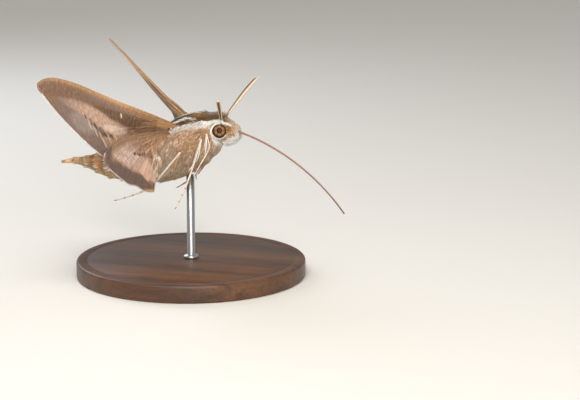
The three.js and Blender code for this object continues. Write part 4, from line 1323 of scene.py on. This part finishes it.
def grain(x, y, size, seed, lean=0.6):
    """Short streaks, as comb()'s lean but broken: ripple() over a plan squeezed to a quarter."""
    return ripple(x + lean * np.log1p(np.exp(1.5 * (y - 1.0))) / 1.5, 0.25 * y, size, seed)


def rays(x, y, count, seed):
    """Streaks that fan out from the wing's root: waves of the angle about it, over the distance."""
    turn = np.arctan2(y + 0.6, x + 4.0)
    return ripple(turn * count, np.hypot(x, y) * 0.10, 1.0, seed)


def forewing_under(x, y, u, v):
    """Golden leading strip with a painted highlight on its edge, brown patch, slanting pale band,
    pinkish brown outer part.
    """
    behind = y - lead_edge(FOREWING, x)
    wave, hair = ripple(x, y, 2.2, 5), comb(x, y, 1.1, 21)
    fine = 0.5 * comb(x, y, 0.36, 6) + 0.25 * comb(x, y, 0.8, 31) + 0.45 * grain(x, y, 0.28, 32)
    fan = rays(x, y, 26, 22)
    comb_zone = ease((2.4 - y + 0.5 * hair) / 1.8) * ease((x - 22) / 3)
    inner = (ease((20.4 - 0.42 * (y - 6) + 0.8 * wave + 0.5 * fine - x) / 2.4)
             * ease((y - 4.2) / 1.4))
    near_root = ease((12.5 + 0.8 * wave - x) / 5.0)
    top = np.interp(x, [8, 11.5, 14, 17, 19.9, 23.3, 26.9, 30.5, 33.5],
                    [3.9, 3.3, 2.9, 2.5, 1.5, 0.9, 0.8, 1.2, 1.6])
    low = np.interp(x, [8, 11.5, 12.1, 15.6, 18.5, 21.4, 25.6, 28.3, 31.1, 33.5],
                    [3.9, 4.1, 4.3, 5.5, 5.7, 4.7, 3.1, 2.7, 2.1, 1.7])
    dark_top = np.interp(x, [2, 5.4, 10, 14.4, 18.6, 22.9, 26],
                         [1.2, 0.9, 0.5, 0.2, -0.3, -0.6, -0.2])
    brown = (ease((top + 0.15 * fine - y) / 0.7) * ease((y - dark_top + 0.25 * hair + 0.3) / 0.9)
             * ease((x - 4.5) / 6) * ease((26.3 + 0.6 * wave - 0.4 * y - x) / 3.4))
    middle, half = (top + low) / 2, (low - top) / 2
    band = inside(y, middle + 0.25 * fine, np.maximum(half - 0.5, 0), 1.15)
    band = band * ease((x - 10.6) / 1.6) * ease((33.0 - x) / 5)
    paler = ease((30 - x) / 7)
    broken = ease((grain(x, y, 0.5, 33) + 0.5) / 0.6)
    wide = np.interp(x, [0, 6, 18, 28, 36], [1.9, 1.8, 1.6, 1.4, 1.1])
    strip = ease((wide + 0.25 * fine - behind) / 1.0)
    colours = layered(
        "#7d685e", x,
        ("#94857e", spot(x, y, (24.6, 5.2), (2.6, 1.8), 0.9) * 0.8),
        ("#80644f", ease((x - 30) / 4.5) * 0.8),
        ("#775d4e", comb_zone),
        ("#93755e", comb_zone * ease((fine - 0.05) / 0.4) * 0.45),
        ("#735641", comb_zone * ease((-fine - 0.1) / 0.5) * 0.32),
        ("#ac8a70", inner),
        ("#a98465", near_root),
        ("#6f523d", near_root * ease((fan - 0.15) / 0.4) * 0.8),
        ("#b5906f", near_root * ease((-fan - 0.15) / 0.6) * 0.7),
        ("#725946", brown * 0.9),
        ("#5d4636", brown * spot(x, y, (14.5, 1.5), (6.0, 0.9), 1.1) * 0.7),
        ("#9a7c62", brown * ease((fine - 0.1) / 0.5) * 0.5),
        ("#a08475", band * 0.85),
        ("#b0927e", band * paler * 0.9),
        ("#ceb5a2",
         band * (spot(x, y, (14.9, 4.5), (2.9, 0.8), 0.7)
                 + 0.8 * ease((fine - 0.1) / 0.5) * paler)),
        *[("#5c4842", spot(x + 0.4 * (y - place[1]), y, place, size, 0.8) * broken)
          for place, size in (((24.0, 3.7), (0.2, 0.4)), ((22.6, 4.5), (0.3, 0.6)),
                              ((21.2, 5.3), (0.35, 0.8)), ((19.4, 5.9), (0.5, 0.7)),
                              ((17.9, 6.2), (0.9, 0.6)), ((16.6, 6.4), (0.5, 0.4)))],
        *[("#cdb29c",
           inside(x + 0.45 * (y - place[1]), place[0], 0.12, 0.25)
           * inside((y - place[1]) + 0.5 * (x - place[0]), 0, 0.5, 0.6) * 0.75)
          for place in ((22.9, 5.3), (21.3, 6.4), (19.7, 7.4), (18.9, 8.6), (17.4, 7.0),
                        (15.3, 6.6))],
        ("#a07c5c", strip),
        # Painted highlight on the rounded leading edge, over the strip's golden colour: the lighter
        # zone within about a millimetre of the edge, and the thin light line 0.25 mm behind it.
        ("#b48d66", ease((1.0 + 0.3 * fine - behind) / 0.5) * (0.3 + 0.55 * ease((26 - x) / 12))),
        ("#8e6c4e", inside(behind, 1.12, 0.03, 0.14) * ease((22 - x) / 8) * 0.5),
        ("#c29d74", inside(behind, 0.25, 0.1, 0.15) * ease((24 - x) / 8) * 0.6),
        ("#e6cfa0", spot(x + 0.3 * (y - 0.85), y, (13.9, 0.85), (0.17, 0.42), 0.5)),
        ("#f8f2ea", ease((u - 0.9925) / 0.003) * ease((v - 0.08) / 0.08)))
    return colours * (1 + 0.04 * wave + 0.17 * fine + 0.07 * hair)[..., None]


def forewing_upper(x, y, u, v):
    """Olive brown, one long tan band from the inner edge's root to the tip, a tan leading edge with
    a painted highlight in it.
    """
    wave, fine = ripple(x, y, 3.0, 7), comb(x, y, 0.6, 8)
    centre = np.interp(x, [0, 10, 20, 28, 35], [2.6, 4.6, 5.2, 3.2, 0.6])
    half = np.interp(x, [0, 10, 22, 35], [0.3, 0.8, 1.3, 0.3])
    front = ease((0.40 + 0.01 * fine - v) / 0.05)
    colours = layered(
        "#5b4733", x,
        ("#8a7a6b", ease((u - 0.86) / 0.04) * 0.9),
        ("#dcc6a2", inside(y, centre + 0.15 * wave, half, 0.35)),
        ("#cf9b64", front),
        # Painted light: a bright band near the leading edge, which turns away from the lamps.
        ("#ffdba6", front * inside(v, 0.12, 0.05, 0.04)),
        *[("#432e1e", front * inside(v + 0.004 * fine, line, 0.010, 0.014) * dark)
          for line, dark in ((0.02, 0.5), (0.055, 0.8), (0.21, 0.9), (0.255, 0.6), (0.325, 1.0))],
        ("#cbbba6", ease((v - 0.95) / 0.03) * 0.8),
        ("#f4ece2", ease((u - 0.987) / 0.006)))
    return colours * (1 + 0.05 * wave + 0.06 * fine)[..., None]


# %% Colours of the hindwing


def hindwing_under(x, y, u, v):
    """Speckled gold at the root, pinkish in the middle, a brown outer band, an orange corner."""
    wave, hair = ripple(x, y, 2.0, 15), comb(x, y, 1.8, 23, 1.1, -0.5)
    fine = (0.5 * comb(x, y, 0.6, 16, 1.1, -0.5) + 0.6 * grain(x, y, 0.36, 43, 1.1)
            + 0.3 * grain(x, y, 0.8, 44, 1.1))
    fan = rays(x, y, 22, 24)
    golden = ease((0.60 - u + 0.04 * wave + 0.03 * fine) / 0.24)
    dark = ease((0.62 - u + 0.06 * wave) / 0.3) * ease((0.7 * fan + 0.5 * fine - 0.05) / 0.5)
    dashes = ease((grain(x, y, 0.34, 41, 1.1) + 0.4 * ripple(x, y, 1.6, 42) - 0.28) / 0.25)
    rim = np.interp(v, [0, 0.1, 0.16, 0.34, 0.51, 0.69, 0.78, 0.93, 1],
                    [0.88, 0.885, 0.885, 0.850, 0.820, 0.820, 0.83, 0.85, 0.87])
    rim = rim + 0.008 * wave + 0.012 * hair
    pale = ease((u - rim + 0.30) / 0.14) * ease((rim + 0.01 - u) / 0.04) * ease((v - 0.05) / 0.15)
    corner = ease((v - 0.80) / 0.10) * ease((u - 0.945) / 0.03)
    smooth = pale * ease((v - 0.60) / 0.06)
    colours = layered(
        "#a78570", x,
        ("#c8a080", golden),
        ("#6a4a35", dark * 0.8),
        ("#4c3222", dashes * ease((0.64 - u) / 0.15) * ease((u - 0.12) / 0.1) * 0.8),
        ("#cfa67d", golden * ease((-0.7 * fan - 0.4 * fine - 0.2) / 0.6) * 0.7),
        ("#bfa093", pale * 0.8),
        ("#e2cdc1", pale * ease((fine - 0.05) / 0.3) * ease((0.6 - v) / 0.2) * 0.9),
        ("#d6b2a1", pale * ease((v - 0.60) / 0.06) * 0.95),
        ("#cfa885", pale * ease((v - 0.60) / 0.1) * ease((u - rim + 0.06) / 0.04) * 0.7),
        ("#96765a", ease((1.9 + 0.2 * fine - (y - lead_edge(HINDWING, x))) / 1.4) * 0.9),
        *[("#5f4535",
           spot(x + 0.8 * (y - place[1]), y, place, size, 1.0)
           * ease((grain(x, y, 0.5, 45, 1.1) + 0.4) / 0.6))
          for place, size in (((12.0, 1.9), (0.6, 0.3)), ((9.6, 2.5), (0.9, 0.25)),
                              ((6.4, 3.4), (0.6, 0.5)))],
        ("#6d5850", ease((u - rim) / 0.035)),
        ("#a68b7e", ease((u - 0.975) / 0.012) * ease((0.2 - v) / 0.1)),
        ("#8b6347",
         inside(v, 0.90, 0.06, 0.08) * inside(u, 0.88, 0.02, 0.05) * ease(fine + 0.5) * 0.6),
        ("#cb9c66", corner * 0.9),
        ("#f1e8dd", ease((u - 0.989) / 0.003) * ease((v - 0.12) / 0.08)))
    return colours * (1 + 0.05 * wave + (0.17 - 0.14 * smooth) * fine)[..., None]


def hindwing_upper(x, y, u, v):
    """Black at the root and in a band before the edge, rose between, pale at the corner."""
    wave, fine = ripple(x, y, 2.5, 17), ripple(x, y, 0.7, 18)
    rose = ease((u - 0.38 + 0.02 * wave) / 0.06) * ease((0.80 - u + 0.02 * wave) / 0.05)
    colours = layered(
        "#241a17", x,
        ("#b4655a", rose),
        ("#cf8b7c", rose * inside(v, 0.45, 0.2, 0.2) * 0.6),
        ("#e7ddd2", spot(x, y, (4.6, 9.0), (0.9, 1.6), 0.6)),
        ("#b99a84", ease((u - 0.925) / 0.02) * 0.9),
        ("#9c8670", ease((0.9 - (y - lead_edge(HINDWING, x))) / 0.5) * 0.8),
        ("#f0e8de", ease((u - 0.985) / 0.006)))
    return colours * (1 + 0.06 * wave + 0.05 * fine)[..., None]


print("forewing band colour:",
      forewing_under(*(np.array([a]) for a in (16.0, 4.1, 0.59, 0.55))).round(2))

# %% [markdown]
# Film, veins and fringe
# The film is a closed sheet: one grid of points for each face, stitched round the rim. It is
# thicker along the front, where the strong veins run close together, and lightly pleated between
# veins. Each vein is a thin tube on its own line over the plan. The fringe is two rows of white
# scales along the outer edge, with a brown mark at each vein's end, and a tan row along the
# inner edge.

# %% Veins


def vein_line(start_u, start_v, end_u, end_v, bend):
    """A vein's (u, v) by t: u even from start to end, v easing over within 'bend' of u."""
    def place(t):
        u = start_u + (end_u - start_u) * t
        return u, start_v + (end_v - start_v) * ease((u - start_u) / bend)
    return place


FORE_VEINS = [vein_line(*row) for row in (
    (0.0, 0.10, 0.76, 0.03, 0.8), (0.0, 0.20, 0.86, 0.05, 0.9), (0.30, 0.16, 0.95, 0.06, 0.7),
    (0.40, 0.17, 1.0, 0.10, 0.25), (0.44, 0.20, 1.0, 0.23, 0.2), (0.47, 0.33, 1.0, 0.37, 0.2),
    (0.46, 0.48, 1.0, 0.51, 0.2), (0.44, 0.58, 1.0, 0.64, 0.2), (0.30, 0.60, 1.0, 0.77, 0.25),
    (0.0, 0.55, 0.46, 0.56, 0.4), (0.0, 0.80, 1.0, 0.91, 0.6), (0.0, 0.30, 0.46, 0.19, 0.46),
)]
HIND_VEINS = [vein_line(*row) for row in (
    (0.0, 0.12, 0.98, 0.03, 0.9), (0.0, 0.28, 1.0, 0.15, 0.5), (0.38, 0.26, 1.0, 0.31, 0.2),
    (0.42, 0.42, 1.0, 0.47, 0.2), (0.40, 0.52, 1.0, 0.60, 0.2), (0.0, 0.50, 1.0, 0.73, 0.7),
    (0.0, 0.72, 1.0, 0.86, 0.6), (0.0, 0.90, 1.0, 0.96, 0.6),
)]


def vein_ends(veins):
    """Where each vein meets the outer edge, as v."""
    ends = [line(1.0) for line in veins]
    return np.array(sorted(v for u, v in ends if u > 0.99))


def vein_nearness(plan_veins, u, v, width):
    """1 on any vein's line and 0 further than width from it across the wing."""
    near = np.zeros_like(u)
    t = np.linspace(0, 1, 80)
    for line in plan_veins:
        lu, lv = line(t)
        at = np.interp(u, lu, lv)
        on = (u >= lu.min()) & (u <= lu.max() + 1e-6)
        near = np.maximum(near, inside(v, at, 0, width) * on)
    return near


print("veins:", len(FORE_VEINS), "and", len(HIND_VEINS), "ends at", vein_ends(FORE_VEINS).round(2))

# %% Film


def film(name, veins, under_paint, upper_paint):
    """Both faces of a wing on one grid, apart by its thickness, and stitched round the rim."""
    plan = WINGS[name][0]
    rows, columns = plan["grid"]
    u, v = np.meshgrid(np.linspace(0, 1, rows), np.linspace(0, 1, columns) ** 0.94, indexing="ij")
    middle, flat = on_wing(name, u, v)
    normal = wing_normal(name, u, v)
    near = vein_nearness(veins, u, v, 0.035)
    pleat = 0.10 * (near - 0.5) * ease(u / 0.2)
    half = 0.045 + plan["front"] * (1 - 0.55 * u) * inside(v, 0, 0.012, 0.05)
    rim = np.minimum.reduce([u, 1 - u, v, 1 - v])
    half = np.where(rim < 1e-9, 0.6, 1.0) * half
    faces_points = [middle + normal * (pleat + side * half)[..., None] for side in (1, -1)]
    colours = [paint(flat[..., 0], flat[..., 1], u, v) for paint in (under_paint, upper_paint)]
    line = (near ** 2)[..., None]
    colours[0] = colours[0] * (1 - 0.05 * line) + linear("#b08a68") * 0.05 * line
    pale = linear("#dccdb4") if "fore" in name else linear("#3a2a24")
    colours[1] = colours[1] * (1 - 0.75 * line) + pale * 0.75 * line
    at = np.arange(rows * columns).reshape(rows, columns)
    quads = np.stack([at[:-1, :-1], at[:-1, 1:], at[1:, 1:], at[1:, :-1]], -1).reshape(-1, 4)
    loop = np.concatenate([at[0, :-1], at[:-1, -1], at[-1, :0:-1], at[:0:-1, 0]])
    other = rows * columns
    follow = np.roll(loop, -1)
    rim_quads = np.stack([loop, loop + other, follow + other, follow], -1)
    top, bottom = quads[:, ::-1], quads + other
    if WINGS[name][1] > 0:
        top, bottom, rim_quads = top[:, ::-1], bottom[:, ::-1], rim_quads[:, ::-1]
    points = np.concatenate([p.reshape(-1, 3) for p in faces_points])
    plan_map = np.concatenate([flat.reshape(-1, 2)] * 2) / PLAN_MAP
    colours = np.concatenate([c.reshape(-1, 3) for c in colours])
    return points, [top, bottom, rim_quads], colours, plan_map


def vein_tubes(name, veins, thick, code_under, paint):
    """One tapering tube on each vein's line, a little thicker than the film."""
    parts = []
    for line in veins:
        t = np.linspace(0.01, 0.985, 70)
        u, v = line(t)
        path, flat = on_wing(name, u, v)
        r = thick * (1 - 0.72 * u)
        rings = tube(path, r * 0.9, r, wing_normal(name, u, v), 8)
        colours = paint(flat[:, 0], flat[:, 1], u, v)
        colours = colours * 0.85 + linear(code_under) * 0.15
        colours = np.repeat(colours, 8, axis=0)
        where = np.repeat(flat, 8, axis=0) / PLAN_MAP
        parts.append((close_tube(rings), tube_faces(70, 8),
                      np.concatenate([colours, colours[[0, -1]]]),
                      np.concatenate([where, where[[0, -1]]])))
    return parts


def edge_fringe(name, ends, dice):
    """Two rows of white scales along the outer edge, with a brown mark at each vein's end and at
    the wing's tip, and one tan row along the inner edge."""
    parts = []
    rows = ((520, 0.30, 0.990), (520, 0.24, 0.986), (260, 0.6, 0.985))
    for row, (count, long, inset) in enumerate(rows):
        share = np.linspace(0.01, 0.99, count) + dice.normal(0, 0.001, count)
        u, v = (np.full(count, inset), share) if row < 2 else (share, np.full(count, inset))
        root = on_wing(name, u, v)[0]
        tip = on_wing(name, u + (0.01 if row < 2 else 0), v + (0 if row < 2 else 0.01))[0]
        normal = wing_normal(name, u, v)
        marks = [("#a98f78", np.full(count, 0.7))]
        if row < 2:
            away = np.min(np.abs(share[:, None] - ends[None]), axis=1)
            marks = [("#b99b7e", ease((0.14 - share) / 0.08)) if "fore" in name
                     else ("#8f7466", ease((0.20 - share) / 0.06)),
                     ("#a58973", (1 - ease((away - 0.006) / 0.010)) * 0.7)]
        colours = layered("#fffdf9", share, *marks)
        lie = unit(tip - root) + dice.normal(0, 0.05, (count, 3))
        where = np.stack([0.02 + 0.96 * share, np.full(count, 0.1 + 0.3 * row)], -1)
        parts.append(blades(root, lie, normal * (1 if row else -1),
                            long * dice.uniform(0.85, 1.1, count), 0.15, 0.02, colours, where,
                            dice))
    return parts


PAINTS = {"fore": (forewing_under, forewing_upper, FORE_VEINS, 0.16, "#b8916a", "forewing_scales"),
          "hind": (hindwing_under, hindwing_upper, HIND_VEINS, 0.11, "#a9835f", "hindwing_scales")}
for name in WINGS:
    under, upper, veins, thick, code, slot = PAINTS[name[:4]]
    sheet = film(name, veins, under, upper)
    parts = [sheet] + vein_tubes(name, veins, thick, code, under)
    joined_parts(f"{name}_film", parts, wing_scales, slot, name)
    joined_blades(f"{name}_fringe", edge_fringe(name, vein_ends(veins), dice), fur, slot)

# %% [markdown]
# Fur at the wings' roots
# Long hair-like scales cover the hinge where a wing leaves the body and run out along its inner
# edge. They hide the join, as on the real animal, and lie outwards and back over the film. Three
# black dots and a white one mark the forewing's joint.

# %% Root fur


def joint_dots(name, dice):
    """Three black dots and a white one over the forewing's joint, each a round patch of roots."""
    places = np.array([(0.045, 0.26), (0.068, 0.42), (0.030, 0.46), (0.055, 0.34)])
    count = 110
    pick = dice.integers(0, len(places), count)
    turn, away = dice.uniform(0, 2 * np.pi, count), np.sqrt(dice.random(count))
    u = places[pick, 0] + 0.006 * away * np.cos(turn)
    v = places[pick, 1] + 0.05 * away * np.sin(turn)
    root, normal = on_wing(name, u, v)[0], wing_normal(name, u, v)
    outer = on_wing(name, u + 0.01, v)[0]
    where = np.stack([0.02 + 3.5 * u, 0.02 + 0.46 * v], -1)
    return blades(root + normal * 0.26, unit(outer - root), normal, 0.30, 0.12, 0.10,
                  np.where((pick < 3)[:, None], linear("#1e130c"), linear("#f4e8da")), where, dice)


for name in WINGS:
    parts, fore = [], "fore" in name
    for face in (1, -1):
        count = 1300
        u, v = dice.uniform(0.0, 0.15 if fore else 0.24, count), dice.uniform(0.04, 1.0, count)
        root, flat = on_wing(name, u, v)
        outer = on_wing(name, u + 0.01, np.minimum(1, v + 0.004))[0]
        normal = wing_normal(name, u, v) * face
        paint = PAINTS[name[:4]][0 if face > 0 else 1]
        colours = paint(flat[:, 0], flat[:, 1], u, v)
        colours = tint(colours, "#dcae78" if face > 0 else "#a27f59",
                       (0.8 if fore else 0.5) * ease((0.6 - v) / 0.3))
        colours = tint(colours, "#f0d4b8", ease((v - 0.62) / 0.25) * 0.75)
        where = np.stack([0.02 + 3.5 * u, 0.02 + 0.46 * v + (0.5 if face > 0 else 0)], -1)
        parts.append(blades(root + normal * 0.05,
                            unit(outer - root) + dice.normal(0, 0.12, (count, 3)), normal,
                            dice.uniform(0.8, 1.7, count) * (1 - 2.2 * u), 0.13, 0.16, colours,
                            where, dice))
        if fore and face > 0:
            parts.append(joint_dots(name, dice))
        count = 360 if fore else 460
        u = dice.uniform(0.02, 0.45 if fore else 0.66, count)
        v = 1 - 0.16 * dice.random(count) ** 1.6 * (1 if fore else 1.2)
        root, flat = on_wing(name, u, v)
        ahead = unit(on_wing(name, u + 0.01, v)[0] - root)
        edge = unit(root - on_wing(name, u, v - 0.02)[0])
        normal = wing_normal(name, u, v) * face
        codes = (("#d8cdc2", "#b9a48e", "#8d7460") if fore
                 else ("#fdf6ee", "#ecd6c6", "#d8b28c", "#b98a60"))
        colours = np.array([linear(code) for code in codes])[dice.integers(0, len(codes), count)]
        where = np.stack([0.02 + 0.96 * u, 0.02 + 0.46 * v + (0.5 if face > 0 else 0)], -1)
        parts.append(blades(root, ahead + edge * dice.uniform(-0.05, 0.4, (count, 1))
                            + dice.normal(0, 0.03, (count, 3)), normal,
                            dice.uniform(1.6, 3.2, count), 0.10, 0.10, colours, where, dice))
    joined_blades(f"{name}_root_fur", parts, fur, PAINTS[name[:4]][5])

# %% [markdown]
# Tail
# The last ring carries a brush of long flat scales, peach above and paler below. They could be
# one painted cone, but its tip would look cut. So each scale is a blade whose root lies anywhere
# in the ring's round end and which aims at one point behind it, and their lengths differ, so the
# brush closes to a loose point.

# %% Tail brush
TAIL = 4.0
count = 620
turn = dice.uniform(0, 2 * np.pi, count)
layer = np.sqrt(dice.random(count))
start_x = TAIL_END + dice.uniform(-0.35, 0.7, count)
ring_high, ring_wide = 0.60 * layer, 0.64 * layer
root = np.stack([start_x, np.cos(turn) * ring_wide, FLIGHT - 5.15 + np.sin(turn) * ring_high], -1)
target = np.stack([np.full(count, TAIL_END - TAIL + 0.45), np.cos(turn) * 0.12,
                   FLIGHT - 5.75 + np.sin(turn) * 0.10], -1)
inward = unit(target - root)
outward = np.stack([0 * turn, np.cos(turn), np.sin(turn)], -1)
outward = unit(outward - inward * np.sum(outward * inward, -1, keepdims=True))
reach = np.linalg.norm(target - root, axis=1) * dice.uniform(0.45, 1.0, count)
peach = layered("#e4bf9a", turn, ("#b58f6c", dice.random(count) ** 3 * 0.7),
                ("#e8d0b3", ease(-np.sin(turn)) * 0.4))
where = np.stack([0.1 + 0.8 * layer, 0.02 + 0.96 * turn / (2 * np.pi)], -1)
brush = blades(root, target - root, outward, reach, 0.24, 0.08, peach, where, dice, 0.16, 0.015)
joined_blades("tail_brush", [brush], fur, "tail_scales", "tail_tuft")
